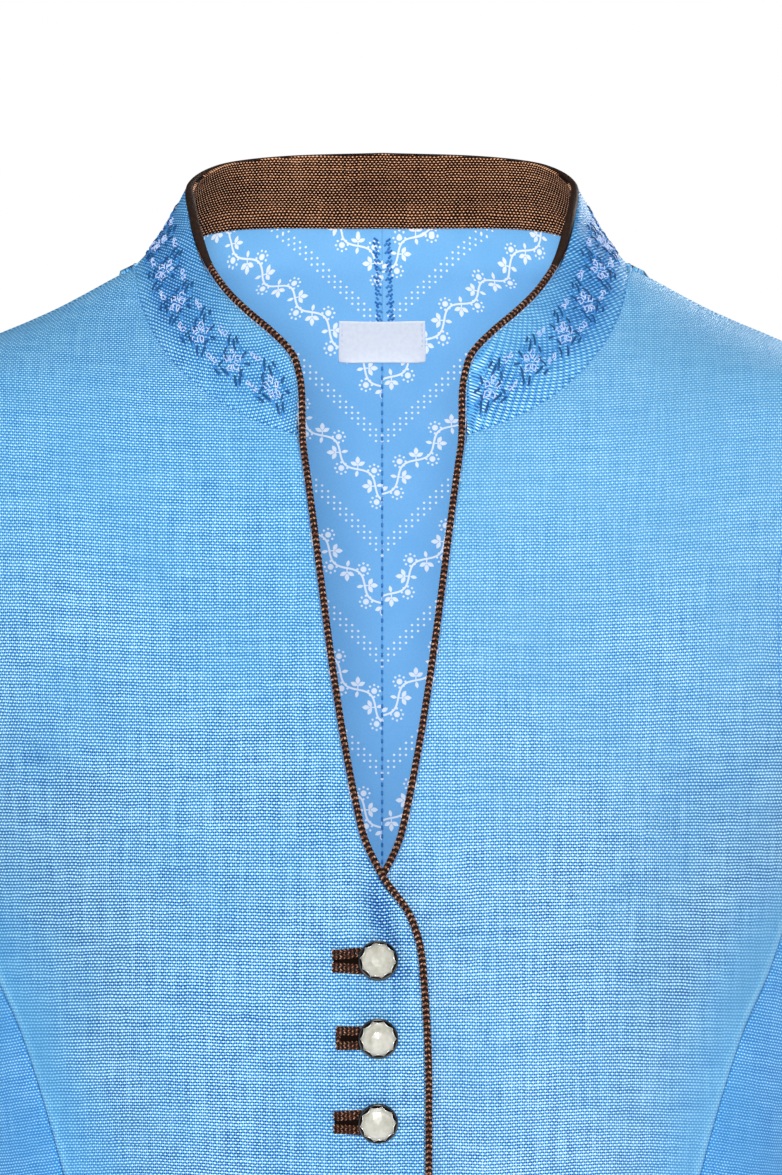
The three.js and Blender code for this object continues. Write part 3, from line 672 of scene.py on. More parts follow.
def garland(tree, across, height, left):
    """Distance inside the garland's line, flowers and leaves, in millimetres; below 0 outside."""
    number, s, t = wave_row(tree, across, height, GARLAND_DOWN)
    odd = add(tree, ("FLOORED_MODULO", number, 2.0))
    turned = add(tree, ("MULTIPLY_ADD", odd, -2.0, 1.0))
    start = ("ADD", PHASE, ("ADD", ("MULTIPLY", odd, ROW_PHASE), ("MULTIPLY", left, LEFT_PHASE)))
    q = add(tree, ("MULTIPLY", ("SUBTRACT", s, start), turned))
    t = add(tree, ("MULTIPLY", t, turned))
    angle = add(tree, ("MULTIPLY", q, math.pi / HALF_WAVE))
    steep = ("MULTIPLY", ("SINE", angle), WAVE * math.pi / HALF_WAVE)
    off = ("ABSOLUTE", ("MULTIPLY_ADD", ("COSINE", angle), WAVE, t))
    shapes = [("SUBTRACT", LINE, ("DIVIDE", off, length_of(steep, 1.0)))]

    turn = ("ROUND", ("DIVIDE", q, HALF_WAVE))
    fx = add(tree, ("MULTIPLY_ADD", turn, -HALF_WAVE, q))
    fy = ("MULTIPLY", t, ("COSINE", ("MULTIPLY", turn, math.pi)))
    fy = add(tree, ("ADD", fy, FLOWER["off"]))
    far = add(tree, length_of(fx, fy))
    petal = 2 * math.pi / FLOWER["count"]
    around = add(tree, ("ARCTAN2", fy, fx))
    around = add(tree, ("SUBTRACT", around, ("MULTIPLY", ("ROUND", ("DIVIDE", around, petal)), petal)))
    dot_x = ("SUBTRACT", ("MULTIPLY", far, ("COSINE", around)), FLOWER["ring"])
    dot_y = ("MULTIPLY", far, ("SINE", around))
    shapes += [("SUBTRACT", FLOWER["disc"], far), ("SUBTRACT", FLOWER["dot"], length_of(dot_x, dot_y))]

    turn = ("FLOOR", ("DIVIDE", q, HALF_WAVE))
    lx = add(tree, ("ADD", ("MULTIPLY_ADD", turn, -HALF_WAVE, q), -HALF_WAVE / 2))
    ly = add(tree, ("MULTIPLY", t, ("COSINE", ("MULTIPLY", turn, math.pi))))
    x = ("MULTIPLY", ("SUBTRACT", lx, ly), math.sqrt(0.5))
    y = ("MULTIPLY", ("ADD", lx, ly), math.sqrt(0.5))
    spray = add(tree, "ShaderNodeCombineXYZ", x, y, 0.0)
    own = add(tree, "ShaderNodeSeparateXYZ", spray)
    stalk = ("SUBTRACT", STALK[0] / 2, ("ABSOLUTE", ("SUBTRACT", own.outputs[0], STALK[0] / 2)))
    shapes.append(("MINIMUM", stalk, ("SUBTRACT", STALK[1], ("ABSOLUTE", own.outputs[1]))))
    for leaf_x, leaf_y, degrees, long, half in LEAVES:
        turned = (0.0, 0.0, math.radians(degrees))
        leaf = {"Location": (leaf_x, leaf_y, 0), "Rotation": turned, "Scale": (long, half, 1)}
        leaf = add(tree, "ShaderNodeMapping", vector_type="TEXTURE", Vector=spray, **leaf)
        leaf = add(tree, "ShaderNodeSeparateXYZ", leaf)
        p = leaf.outputs[0]
        body = ("MULTIPLY", ("MULTIPLY", p, 4.0), ("SUBTRACT", 1.0, p))
        shapes.append(("MULTIPLY", ("SUBTRACT", body, ("ABSOLUTE", leaf.outputs[1])), half))
    whole = shapes[0]
    for shape in shapes[1:]:
        whole = add(tree, ("MAXIMUM", whole, shape))
    return whole


def dot_band(tree, across, height):
    """Distance inside the nearest dot of the band: three rows, each shifted by half a step."""
    _, s, t = wave_row(tree, across, height, DOTS_DOWN)
    line = add(tree, ("ROUND", ("DIVIDE", t, DOT["step"])))
    inside = ("SUBTRACT", 1.5, ("ABSOLUTE", line))
    t = ("SUBTRACT", t, ("MULTIPLY", line, DOT["step"]))
    s = add(tree, ("SUBTRACT", s, ("MULTIPLY", line, DOT["step"])))
    s = ("SUBTRACT", s, ("MULTIPLY", ("ROUND", ("DIVIDE", s, 2 * DOT["step"])), 2 * DOT["step"]))
    return ("MINIMUM", inside, ("SUBTRACT", DOT["radius"], length_of(s, t)))


def make_print():
    """Fine cotton has hardly any gloss. A little glow in the print's own colours is painted light that
    lifts the lining out of the shade inside the dress. The white is an opaque ink with a sharp edge."""
    # The emission is painted light on the lining.
    looks = {"Roughness": 0.75, "Specular_IOR_Level": 0.15, "Emission_Strength": 0.2}
    made, tree, shader = material("Printed cotton, smooth", **looks)
    flat = add(tree, "ShaderNodeUVMap", uv_map="cloth")
    place = add(tree, "ShaderNodeSeparateXYZ", flat)
    across = add(tree, ("ABSOLUTE", place.outputs[0]))
    left = add(tree, ("LESS_THAN", place.outputs[0], 0.0))
    height = place.outputs[1]
    motif = ("MAXIMUM", garland(tree, across, height, left), dot_band(tree, across, height))
    ink = add(tree, ("MULTIPLY_ADD", motif, INK_EDGE, 0.5), use_clamp=True)
    fine = add(tree, "ShaderNodeTexNoise", Vector=flat, Scale=1.6, Detail=2.0)
    wide = add(tree, "ShaderNodeTexNoise", Vector=flat, Scale=0.05, Detail=2.0)
    tone = ("ADD", ("MULTIPLY", fine, 0.6), ("MULTIPLY", wide, 0.4))
    ground = add(tree, "ShaderNodeMix", data_type="RGBA", Factor=tone, A="#5A9FD6", B="#84BDEA")
    printed = add(tree, "ShaderNodeMix", data_type="RGBA", Factor=ink, A=ground, B="#E2E9F4")
    bump = add(tree, "ShaderNodeBump", Height=fine, Distance=0.05 * MM, Strength=0.5)
    add(tree, shader, Base_Color=printed, Emission_Color=printed, Normal=bump)
    print("print:", len(tree.nodes), "nodes, rows", ROW, "mm apart")
    return made


PRINTED_COTTON = make_print()

# %% [markdown]
# ## The bodice panels
#
# Three panels on each side: the front with the shaped seam that gives room over the bust, the side
# front under the arm, and the back. Each sewn edge rolls down into its seam, and along the shaped
# seam the pressed seam allowance shows as a narrow ridge on the front. A few soft creases are
# listed where such a bodice pulls: at the foot of the opening, at the armholes and at the
# waist.

# %% Panels between their edges
# How far down the centre back each net line starts, from the top (0) to the waist (1).
BACK_ROWS = (0, 0.065, 0.14, 0.22, 0.32, 0.43, 0.54, 0.66, 0.77, 0.885, 1)


def through(stops):
    """A smooth function of a share from 0 to 1 that passes these stops at even steps."""
    rows = {"step": np.arange(len(stops), dtype=float), "stop": np.array(stops, float)}
    return lambda share: along(rows, share * (len(stops) - 1), "stop", "step")


def even(turn, z):
    """An edge through these turns and heights, run along at an even pace by its length on the form."""
    share = walked(body_point(turn, z, 1))
    share = share / share[-1]
    return lambda at: (np.interp(at, share, turn), np.interp(at, share, z))


def outer_edge(armhole, armhole_end, seam, back):
    """The outer edge of a panel: along the shoulder seam, round the armhole, then down a seam."""
    fine = 40
    shoulder = np.linspace(TOP_Z, TIP_Z, fine)
    round_arm = mix(TIP_Z, armhole_end, np.linspace(0, 1, 3 * fine)[1:] ** 2)
    below = np.linspace(armhole_end, WAIST_Z, 3 * fine)[1:]
    side = np.pi / 2 + 0 * below if seam is None else turn_at(along(seam, below, "x"), below)
    turns = [np.pi / 2 + 0 * shoulder, turn_at(along(armhole, round_arm, "x"), round_arm, back), side]
    return even(np.concatenate(turns), np.concatenate([shoulder, round_arm, below]))


def front_inner(z):
    """The inner edge of the front at these heights: the neck seam, then the edge of the opening."""
    x_neck = NECK_HALF * np.sin(np.arccos(np.clip(-z / NECK_DROP, -1, 1)))
    x = np.where(z > neck_seam(NECK_START)[1], x_neck, cloth_edge_x(np.minimum(z, -60.0)))
    return turn_at(x, z)


def seam_line(share):
    z = mix(SPLIT_Z, WAIST_Z, share)
    return turn_at(along(SHAPED_SEAM, z, "x"), z), z


def waist_line(start, end):
    return lambda share: (mix(start, end, share), WAIST_Z + 0 * share)


WAIST_SHAPED = float(seam_line(np.array(1.0))[0])
PANELS = {
    "front": {
        "inner": front_inner,
        "outer": outer_edge(FRONT_ARMHOLE, SPLIT_Z, SHAPED_SEAM, False),
        "wide": 250,
        "high": 560,
    },
    "side_front": {
        "top": lambda u: (
            mix(float(seam_line(np.array(0.0))[0]), math.pi / 2, u),
            mix(SPLIT_Z, ARMPIT_Z, np.sin(math.pi / 2 * u)),
        ),
        "bottom": waist_line(WAIST_SHAPED, math.pi / 2),
        "centre": seam_line,
        "outer": lambda v: (math.pi / 2 + 0 * v, mix(ARMPIT_Z, WAIST_Z, v)),
        "wide": 70,
        "high": 230,
    },
    "back": {
        "top": lambda u: neck_seam(mix(math.pi, math.pi / 2, u)),
        "bottom": waist_line(math.pi, math.pi / 2),
        "centre": lambda v: (math.pi + 0 * v, mix(NAPE_RISE, WAIST_Z, through(BACK_ROWS)(v))),
        "outer": outer_edge(BACK_ARMHOLE, ARMPIT_Z, None, True),
        "wide": 170,
        "high": 420,
    },
}


def span(edges):
    """A net of turns and heights between four edges, blended so that it meets all of them, or in
    level rows from an inner edge to an outer one."""
    u = graded(edges["wide"])[None, :]
    v = graded(edges["high"])[:, None]
    if "inner" in edges:
        turn, z = edges["outer"](v)
        return [mix(edges["inner"](z), turn, u), z + 0 * u]
    sides = [edges["top"](u), edges["bottom"](u), edges["centre"](v), edges["outer"](v)]
    ends = [edges[name](np.array(share)) for name in ("top", "bottom") for share in (0.0, 1.0)]
    net = []
    for k in (0, 1):
        top, bottom, centre, outer = (side[k] for side in sides)
        corners = mix(mix(ends[0][k], ends[1][k], u), mix(ends[2][k], ends[3][k], u), v)
        net.append(mix(top, bottom, v) + mix(centre, outer, u) - corners)
    return net


# %% Creases and rolled edges
# Height and width of each crease in millimetres; a trough is below 0. Given for one front, in x
# from the centre towards the arm, and used on its own side only.
CREASES = {
    "front_right": table(
        "x z x_end z_end wide deep",
        (5.0, -211, -4.8, -247, 2.9, -5.2),
        (-4.2, -240, -6, -268, 3.0, -1.5),
        (11.5, -212, 6, -236, 4.0, 1.2),
        (92, -300, 78, -352, 9, -0.7),
        (132, -168, 104, -186, 8, -0.9),
        (40, -296, 22, -330, 10, -0.45),
        (70, -372, 66, -402, 6, -0.7),
        (30, -384, 34, -408, 7, -0.5),
    ),
    "front_left": table(
        "x z x_end z_end wide deep",
        (-5, -213, 4.5, -245, 4.6, -3.4),
        (18, -214, 30, -246, 5, -0.9),
        (96, -306, 84, -360, 10, -0.7),
        (134, -172, 100, -194, 9, -0.8),
        (46, -330, 40, -372, 9, -0.5),
        (74, -376, 72, -404, 6, -0.6),
    ),
    "back_right": table(
        "x z x_end z_end wide deep",
        (36, -352, 96, -362, 7, -2.4),
        (60, -372, 118, -380, 6, -2.0),
        (120, -128, 62, -214, 10, -1.5),
        (24, -386, 62, -394, 6, -1.6),
        (122, -214, 88, -226, 9, -1.9),
    ),
    "back_left": table(
        "x z x_end z_end wide deep",
        (28, -346, 84, -352, 7, -2.3),
        (70, -368, 124, -372, 7, -2.1),
        (122, -138, 70, -226, 10, -1.3),
        (30, -388, 74, -392, 6, -1.5),
        (118, -226, 76, -236, 9, -1.8),
    ),
}


def crease_lift(name, points):
    lift = np.zeros(points.shape[:-1])
    if name not in CREASES:
        return lift
    rows = CREASES[name]
    for x, z, x_end, z_end, wide, deep in zip(*(rows[key] for key in rows)):
        start, run = np.array([x, z]), np.array([x_end - x, z_end - z])
        own_x = points[..., 0] * (-1 if name.endswith("right") else 1)
        place = np.stack([own_x, points[..., 2]], -1) - start
        share = np.clip(place @ run / (run @ run), 0, 1)
        away = np.linalg.norm(place - share[..., None] * run, axis=-1)
        lift += deep * hill(away, 0, wide) * np.sin(math.pi * np.clip(share, 0.12, 0.88))
    return lift


RIDGE = {"off": 2.5, "half": 1.15, "high": 0.6}
SEAM_ROLL = {"deep": 0.3, "half": 1.15}


def rim_lift(points, ridge_on=None, rolls=(1, 1, 1, 1)):
    """Rolls the rims of a net down into their seams; ridge_on picks the rim that has a ridge."""
    away, z = edge_distance(points), points[..., 2]
    lift = sum(-deep * SEAM_ROLL["deep"] * hill(d, 0, SEAM_ROLL["half"]) for deep, d in zip(rolls, away))
    if ridge_on is not None:
        ridge = RIDGE["high"] * hill(away[ridge_on], RIDGE["off"], RIDGE["half"])
        lift = lift + ridge * smooth(z, SPLIT_Z - 2, SPLIT_Z - 14) * smooth(z, WAIST_Z, WAIST_Z + 50)
    return lift


HAIR = 0.02


def pull_in(points):
    """Moves the rims of a net in a hair, so that neighbours meet without crossing."""
    for rim, inner in ((0, 1), (-1, -2)):
        for net in (points, points.swapaxes(0, 1)):
            run = net[inner] - net[rim]
            net[rim] += unit(run) * HAIR
    return points


def turn_flat(flat, degrees, shift=(0.0, 0.0)):
    c, s = math.cos(math.radians(degrees)), math.sin(math.radians(degrees))
    return flat @ np.array([[c, s], [-s, c]]) + np.array(shift)


# %% Sew the panels
BACK_GRAIN, SIDE_GRAIN, SIDE_TURN = (0, 110), (0.3, 400.2), 6  # where and how they lie on the linen
IRONED = {"reach": 46, "flat": 0.7, "dark": 0.12}  # how far from the shaped seam the cloth is pressed flat, how flat, and how much painted shade darkens it there
SEAM_TONE = {"line": 0.8, "ridge": 0.5}  # how dark the seam's line is, and how much lighter its ridge is painted, as a painted highlight
SHEETS = {}


def make_panel(kind, hand):
    name, side = f"{kind}_{hand}", SIDES[hand]
    turn, z = span(PANELS[kind])
    points, out = on_body(turn, z, side)
    flat = flat_place(points, kind == "back") + (np.array(BACK_GRAIN) if kind == "back" else 0)
    points = pull_in(points)
    ridge_on = 1 if kind == "front" else None
    lift = rim_lift(points, ridge_on) + crease_lift(name, points)
    if name == "front_left":
        lift = lift - lap_sink(points)
    if kind == "side_front":
        flat = turn_flat(flat, SIDE_TURN * side, SIDE_GRAIN)
    finish = SHADED_SIDE_LINEN if kind == "side_front" else LEFT_LINEN if name == "front_left" else BLUE_LINEN
    # Painted shade in the troughs of the creases.
    drawn = np.clip(-crease_lift(name, points) / (7 if kind == "front" else 10), 0, 1)
    ironed = 0 * drawn
    if kind == "front":  # flat along the shaped seam, with a dark seam line, a painted highlight on its ridge and painted shade beside it
        seam = edge_distance(points)[1]
        below = smooth(points[..., 2], SPLIT_Z, SPLIT_Z - 25)
        near = smooth(seam, IRONED["reach"], 4) * smooth(points[..., 2], -195, -240)
        line, ridge = hill(seam, 0, 0.8), hill(seam, RIDGE["off"], 1.0)
        line = SEAM_TONE["line"] * line - SEAM_TONE["ridge"] * ridge
        drawn = drawn + IRONED["dark"] * near + line * below
        ironed = IRONED["flat"] * near
    points = points + out * lift[..., None]
    return shell(f"{name}_cloth", points, out, flat, finish, LINEN, drawn=drawn, ironed=ironed), name


for kind in PANELS:
    for hand in SIDES:
        piece, node = make_panel(kind, hand)
        SHEETS[node] = piece
        print(node, len(piece.data.polygons), "faces")


# %% The printed lining of the back
LINING_ABOVE = (4.8, 3.2, 1.6)  # rows above the neck seam, behind the collar's facing


def make_lining(hand):
    side = SIDES[hand]
    turn, z = span(PANELS["back"])
    points, out = on_body(turn, z, side)
    flat = flat_place(points, True)
    seam_z = np.array(GARLAND_DOWN)
    middle = flat_place(body_point(np.array(math.pi), seam_z, 1), True)
    flat[..., 1] += GARLAND_DOWN - middle[1]
    flat[..., 1] -= 3.5 * smooth(flat[..., 1], -40, -5) * smooth(np.abs(flat[..., 0]), 50, 25)
    above = np.array(LINING_ABOVE)[:, None]
    high = np.linalg.norm(collar_point(turn[0], 1 + 0 * turn[0], side) - points[0], axis=-1)
    over, over_out = on_collar(turn[0] + 0 * above, above / high, side)
    points, out = np.concatenate([over, points]), np.concatenate([over_out, out])
    flat = np.concatenate([flat[0] + above[..., None] * [0, 1], flat])
    lift = -LINEN - SEAM_GAP + 0.6 * rim_lift(points, None, (1, 0, 0, 0))
    lift = lift + crease_lift(f"back_{hand}", points)
    points = points + out * lift[..., None]
    for _ in range(5):  # soften the bend from the bodice up into the collar
        points[1:7] = (points[:6] + 2 * points[1:7] + points[2:8]) / 4
    return shell(f"lining_{hand}_cloth", points, out, flat, PRINTED_COTTON, LINING)


for hand in SIDES:
    SHEETS[f"lining_{hand}"] = make_lining(hand)


# %% [markdown]
# ## The collar
#
# The stand collar is one band that starts low at the opening and grows towards the back of the
# neck. Its inside is faced with brown linen. The two layers are nets over the same form, one
# outside the other, and the rows of the net run from the neck seam up to the edging.

# %% Collar and facing
COLLAR_ROWS, FRONT_COLUMNS, BACK_COLUMNS = 18, 34, 46
BAND_HEIGHT = 0.47  # where the embroidery runs, as a share of the collar's height
# How far each cloth's foot is above the neck seam, at the front and at the back.
COLLAR_FOOT = {"collar_cloth": (-1.5, 0.1), "collar_facing_cloth": (-2.2, 2.2)}
COLLAR_TOP = {"collar_cloth": 1.2, "collar_facing_cloth": 2.4}  # how far its top goes on, at the back
COLLAR_GRAIN = (0, 85)
FACING_LAP = -LINING - 0.4
FOOT_TUCK = 1.9  # how deep the collar's foot is tucked in at the neck seam, at the front


def make_collar(name, finish, outer, thick, turned):
    """Both halves, joined at the centre back; turned is how its cloth is cut, in degrees."""
    front = np.linspace(NECK_START, math.pi / 2, FRONT_COLUMNS)
    half = np.concatenate([front, np.linspace(math.pi / 2, math.pi, BACK_COLUMNS)[1:]])
    share = np.linspace(0, 1, COLLAR_ROWS + 1)[:, None]
    parts = []
    for side in SIDES.values():
        turn, high = half[None, :], collar_height(half, side)
        foot = mix(*COLLAR_FOOT[name], smooth(turn, 1.35, 1.75)) / high
        up = mix(foot, 1 + COLLAR_TOP[name] * smooth(turn, 1.4, 2.1) / high, share)
        points, out = on_collar(turn + 0 * up, up, side)
        across = walked(points[COLLAR_ROWS // 2])[None, :] * side + 0 * up
        flat = turn_flat(np.stack([across, up * high], -1), turned * side, COLLAR_GRAIN)
        parts.append([points, out, flat])
    right, left = parts
    left[2] = left[2] + (right[2][:, -1:] - left[2][:, -1:]) * [1, 0]
    points, out, flat = (np.concatenate([a, b[:, -2::-1]], 1) for a, b in zip(right, left))
    turns = np.concatenate([half, half[-2::-1]])
    foot = edge_distance(points)[2]
    # Painted shade along the embroidery band, on the collar and on its facing.
    drawn = 0.25 * hill(share, BAND_HEIGHT, 0.3) + 0 * turns
    if finish == BLUE_LINEN:
        lift = outer + rim_lift(points, None, (0, 0, 0, 0.4))
        lift = lift - FOOT_TUCK * smooth(foot, 2.0, 0.9) * smooth(turns, 1.6, 1.3)
        # Painted shade on the collar's sides, darker above the foot and less towards the back.
        sides = smooth(turns, 0.75, 1.3) * (1 - 0.6 * smooth(turns, 1.6, 2.2))
        drawn = drawn + 0.34 * sides * smooth(share, 0, 0.35)
    else:
        lift = rim_lift(points, None, (0, 0, 0.7, 0.4)) + outer + FACING_LAP * smooth(foot, 9, 3)
    return shell(name, points + out * lift[..., None], out, flat, finish, thick, drawn=drawn)


SHEETS["collar_outer"] = make_collar("collar_cloth", BLUE_LINEN, 0, LINEN, 28)
SHEETS["collar_facing"] = make_collar("collar_facing_cloth", BROWN_LINEN, -LINEN - SEAM_GAP, LINING, 0)
print("collar:", [round(float(v), 3) for v in SHEETS["collar_outer"].dimensions])

# %% [markdown]
# ## The skirt
#
# The skirt is two wide lengths of the same linen, sewn at the sides and gathered into the waist. The
# folds are the solid's own folds. On top of them, the stitching at the waist draws the cloth into
# many small uneven gathers, which open out and fade within a hand's width. At the hem the cloth is
# turned up inside, and a row of stitches holds the turned part.

# %% The gathered skirt
SKIRT = table(
    "down half front back fold",
    (0, 132, 101, 80, 1.5),
    (0.04, 147, 116, 97, 5),
    (0.1, 168, 136, 122, 8),
    (0.22, 200, 167, 160, 12),
    (0.42, 238, 205, 203, 17),
    (0.7, 284, 250, 250, 23),
    (1, 328, 292, 292, 28),
)
GATHERS = 104  # small gathers all round the waist
CUT_HALF = 1240  # the flat width of one of the two lengths of cloth
SKIRT_COLUMNS = 520
HEM_UP = 40
SKIRT_GRAIN = 830  # where the waist lies on its length of linen
GATHER_DEEP = 2.0
HEM_DENT = (0.35, 1.2)  # how deep the hem's stitches draw the cloth, and how wide
WAIST_DENT = (0.4, 0.004)  # the same at the waist, where the width is a share of the length


def fold_wave(turn):
    uneven = turn + 0.05 * np.sin(3 * turn + 0.8) + 0.018 * np.sin(7 * turn + 2)
    return np.cos(HEM_FOLDS * uneven) * (0.78 + 0.22 * np.sin(5 * turn + 0.6))


def gather_wave(turn):
    uneven = turn + 0.021 * np.sin(9 * turn + 1.3) + 0.012 * np.sin(17 * turn + 0.4)
    return np.cos(GATHERS * uneven) * (0.72 + 0.28 * np.sin(13 * turn + 2.1))


def skirt_point(turn, down):
    facing = np.cos(turn)
    depth = np.where(facing > 0, along(SKIRT, down, "front", "down"), along(SKIRT, down, "back", "down"))
    fold = along(SKIRT, down, "fold", "down") * fold_wave(turn)
    reach = 0.1 + 0.07 * np.sin(11 * turn) * np.sin(4 * turn + 1)
    gather = GATHER_DEEP * gather_wave(turn) * (1 - smooth(down, 0.02, 2.4 * reach))
    gather = gather * smooth(down, -0.004, 0.012)
    half = along(SKIRT, down, "half", "down")
    x = (half + fold + gather) * np.sin(turn)
    y = -(depth + fold + gather) * facing
    z = WAIST_Z - SEAM_GAP - SKIRT_LENGTH * down
    return np.stack(np.broadcast_arrays(x, y, z), -1)


def on_skirt(turn, down):
    return facing_out(skirt_point, turn + 0 * down, down + 0 * turn, lambda p: p * [1, 1, 0])


def make_skirt(name, start, end):
    turn = np.linspace(start, end, SKIRT_COLUMNS + 1)[None, :]
    rows = [np.linspace(0, 0.02, 6), np.linspace(0.03, 0.3, 22), np.linspace(0.33, 0.93, 18)]
    hem = 1 - HEM_UP / SKIRT_LENGTH
    near_hem = [hem - 0.004, hem - 0.002, hem, hem + 0.002, hem + 0.004]
    down = np.unique(np.concatenate([*rows, near_hem, [0.97, 0.985, 0.995, 1]]))[:, None]
    points, out = on_skirt(turn, down)
    lift = -HEM_DENT[0] * hill((down - hem) * SKIRT_LENGTH, 0, HEM_DENT[1])
    lift = lift - WAIST_DENT[0] * hill(down, 0, WAIST_DENT[1])
    upright = SKIRT_GRAIN - walked(points).mean(-1)[:, None] + 0 * turn
    across = np.linspace(0, CUT_HALF, SKIRT_COLUMNS + 1)[None, :] + 0 * down
    points = pull_in(points) + out * lift[..., None]
    return shell(name, points, out, np.stack([across, upright], -1), BLUE_LINEN, SKIRT_CLOTH)


for name, start in (("skirt_front", -math.pi / 2), ("skirt_back", math.pi / 2)):
    SHEETS[name] = make_skirt(f"{name}_cloth", start, start + math.pi)
    print(name, len(SHEETS[name].data.polygons), "faces")

# %% [markdown]
# ## Braid and stitches as Geometry Nodes
#
# Two things repeat hundreds of times: the strands of the braid, and the stitches. A flat plait is
# three or more strands that all walk the same path, a figure of eight seen from the end, each
# starting a bit later than the one before. So one tree copies a line once for each strand, moves
# every point by that figure of eight, and gives it a round section. A second tree puts one small
# tapered arc of thread at every point that it gets, turned to the point's own directions.

# %% Trees and what grows from them
STRAND_STEP = 0.26
STRAND_SIDES = 6


def new_tree(name, **sizes):
    """A Geometry Nodes tree with a geometry in and out, and one named input for each size."""
    tree = bpy.data.node_groups.new(name, "GeometryNodeTree")
    tree.interface.new_socket(name="Geometry", in_out="INPUT", socket_type="NodeSocketGeometry")
    tree.interface.new_socket(name="Geometry", in_out="OUTPUT", socket_type="NodeSocketGeometry")
    for label, value in sizes.items():
        kind = "NodeSocketInt" if isinstance(value, int) else "NodeSocketFloat"
        tree.interface.new_socket(name=label, in_out="INPUT", socket_type=kind).default_value = value
    return tree, add(tree, "NodeGroupInput").outputs


def end_tree(tree, geometry, finish):
    real = add(tree, "GeometryNodeRealizeInstances", geometry)
    done = add(tree, "GeometryNodeSetMaterial", add(tree, "GeometryNodeSetShadeSmooth", real))
    done.inputs["Material"].default_value = finish
    add(tree, "NodeGroupOutput", done)
    return tree


def lines_object(name, lines, **vectors):
    """Lines of points in millimetres as edges, with vector attributes such as each point's out."""
    points = np.concatenate(lines)
    count = np.cumsum([0] + [len(line) for line in lines])
    edges = [(i, i + 1) for a, b in zip(count[:-1], count[1:]) for i in range(a, b - 1)]
    mesh = bpy.data.meshes.new(name)
    mesh.from_pydata((points * MM).tolist(), edges, [])
    for label, parts in vectors.items():
        mark(mesh, label, np.concatenate(parts), "FLOAT_VECTOR")
    piece = bpy.data.objects.new(name, mesh)
    bpy.context.collection.objects.link(piece)
    return piece


def grow(piece, tree, **sizes):
    """Runs the tree on the piece and keeps the result as its plain mesh."""
    grown = piece.modifiers.new("grown", "NODES")
    grown.node_group = tree
    for item in tree.interface.items_tree:
        if item.in_out == "INPUT" and item.name in sizes:
            grown[item.identifier] = sizes[item.name]
    graph = bpy.context.evaluated_depsgraph_get()
    grown = piece.evaluated_get(graph)
    mesh = bpy.data.meshes.new_from_object(grown, preserve_all_data_layers=True, depsgraph=graph)
    piece.modifiers.clear()
    piece.data = mesh
    print(piece.name, len(mesh.polygons), "faces")
    return piece


# %% The plait's tree
def plait_tree(name, finish):
    tree, size = new_tree(name, strands=3, half=0.8 * MM, deep=0.38 * MM, pitch=3.15 * MM, thick=0.54 * MM)
    line = add(tree, "GeometryNodeMeshToCurve", size[0])
    line = add(tree, "GeometryNodeResampleCurve", line, Length=STRAND_STEP * MM, mode="LENGTH")
    copies = add(tree, "GeometryNodeDuplicateElements", line, None, size["strands"], domain="SPLINE")
    start = ("DIVIDE", copies.outputs["Duplicate Index"], size["strands"])
    done = add(tree, "GeometryNodeSplineParameter").outputs["Length"]
    turn = ("ADD", ("DIVIDE", done, size["pitch"]), start)
    turn = add(tree, ("MULTIPLY", turn, 2 * math.pi))
    out = add(tree, "GeometryNodeInputNamedAttribute", "out", data_type="FLOAT_VECTOR")
    aside = add(tree, "GeometryNodeInputTangent")
    aside = add(tree, "ShaderNodeVectorMath", aside, out, operation="CROSS_PRODUCT")
    aside = add(tree, "ShaderNodeVectorMath", aside, operation="NORMALIZE")
    crown = add(tree, ("SINE", ("MULTIPLY", turn, 2.0)))
    reach = ("MULTIPLY", ("SINE", turn), size["half"])
    aside = add(tree, "ShaderNodeVectorMath", aside, operation="SCALE", Scale=reach)
    out = add(tree, "ShaderNodeVectorMath", out, operation="SCALE", Scale=("MULTIPLY", crown, size["deep"]))
    offset = add(tree, "ShaderNodeVectorMath", aside, out, operation="ADD")
    moved = add(tree, "GeometryNodeSetPosition", copies, Offset=offset)
    section = add(tree, "GeometryNodeCurvePrimitiveCircle", Resolution=STRAND_SIDES, Radius=size["thick"])
    corner = add(tree, ("MULTIPLY", add(tree, "GeometryNodeInputIndex"), 2 * math.pi / STRAND_SIDES))
    kept = {"data_type": "FLOAT", "domain": "POINT"}
    for label, value in (("length", done), ("crown", crown)):
        moved = add(tree, "GeometryNodeStoreNamedAttribute", moved, None, label, value, **kept)
    section = add(tree, "GeometryNodeStoreNamedAttribute", section, None, "round", corner, **kept)
    tube = add(tree, "GeometryNodeCurveToMesh", moved, section, Fill_Caps=True)
    return end_tree(tree, tube, finish)


# %% The stitches' tree
def stitch_tree(name, finish):
    """One arc of thread at each point: it lies along 'lay', faces 'out', and 'size' gives its
    length, width and height."""
    tree, size = new_tree(name)
    line = add(tree, "GeometryNodeCurvePrimitiveLine", (-0.5, 0, 0), (0.5, 0, 0))
    line = add(tree, "GeometryNodeResampleCurve", line, Count=8)
    reach = add(tree, "GeometryNodeSplineParameter").outputs["Factor"]
    taper = ("POWER", ("SINE", ("MULTIPLY_ADD", reach, math.pi * 0.84, math.pi * 0.08)), 0.6)
    line = add(tree, "GeometryNodeSetCurveRadius", line, None, taper)
    section = add(tree, "GeometryNodeCurvePrimitiveCircle", Resolution=6, Radius=0.5)
    thread = add(tree, "GeometryNodeCurveToMesh", line, section, Fill_Caps=True)
    place = add(tree, "ShaderNodeSeparateXYZ", add(tree, "GeometryNodeInputPosition"))
    arch = ("MULTIPLY_ADD", ("MULTIPLY", place.outputs[0], place.outputs[0]), -4.8, 0.9)
    arch = add(tree, "ShaderNodeCombineXYZ", 0.0, 0.0, arch)
    thread = add(tree, "GeometryNodeSetPosition", thread, Offset=arch)
    kind = "GeometryNodeInputNamedAttribute"
    out, lay, scale = (add(tree, kind, label, data_type="FLOAT_VECTOR") for label in ("out", "lay", "size"))
    turned = add(tree, "FunctionNodeAxesToRotation", out, lay, primary_axis="Z", secondary_axis="X")
    turned = {"Rotation": turned, "Scale": scale}
    placed = add(tree, "GeometryNodeInstanceOnPoints", size[0], Instance=thread, **turned)
    return end_tree(tree, placed, finish)
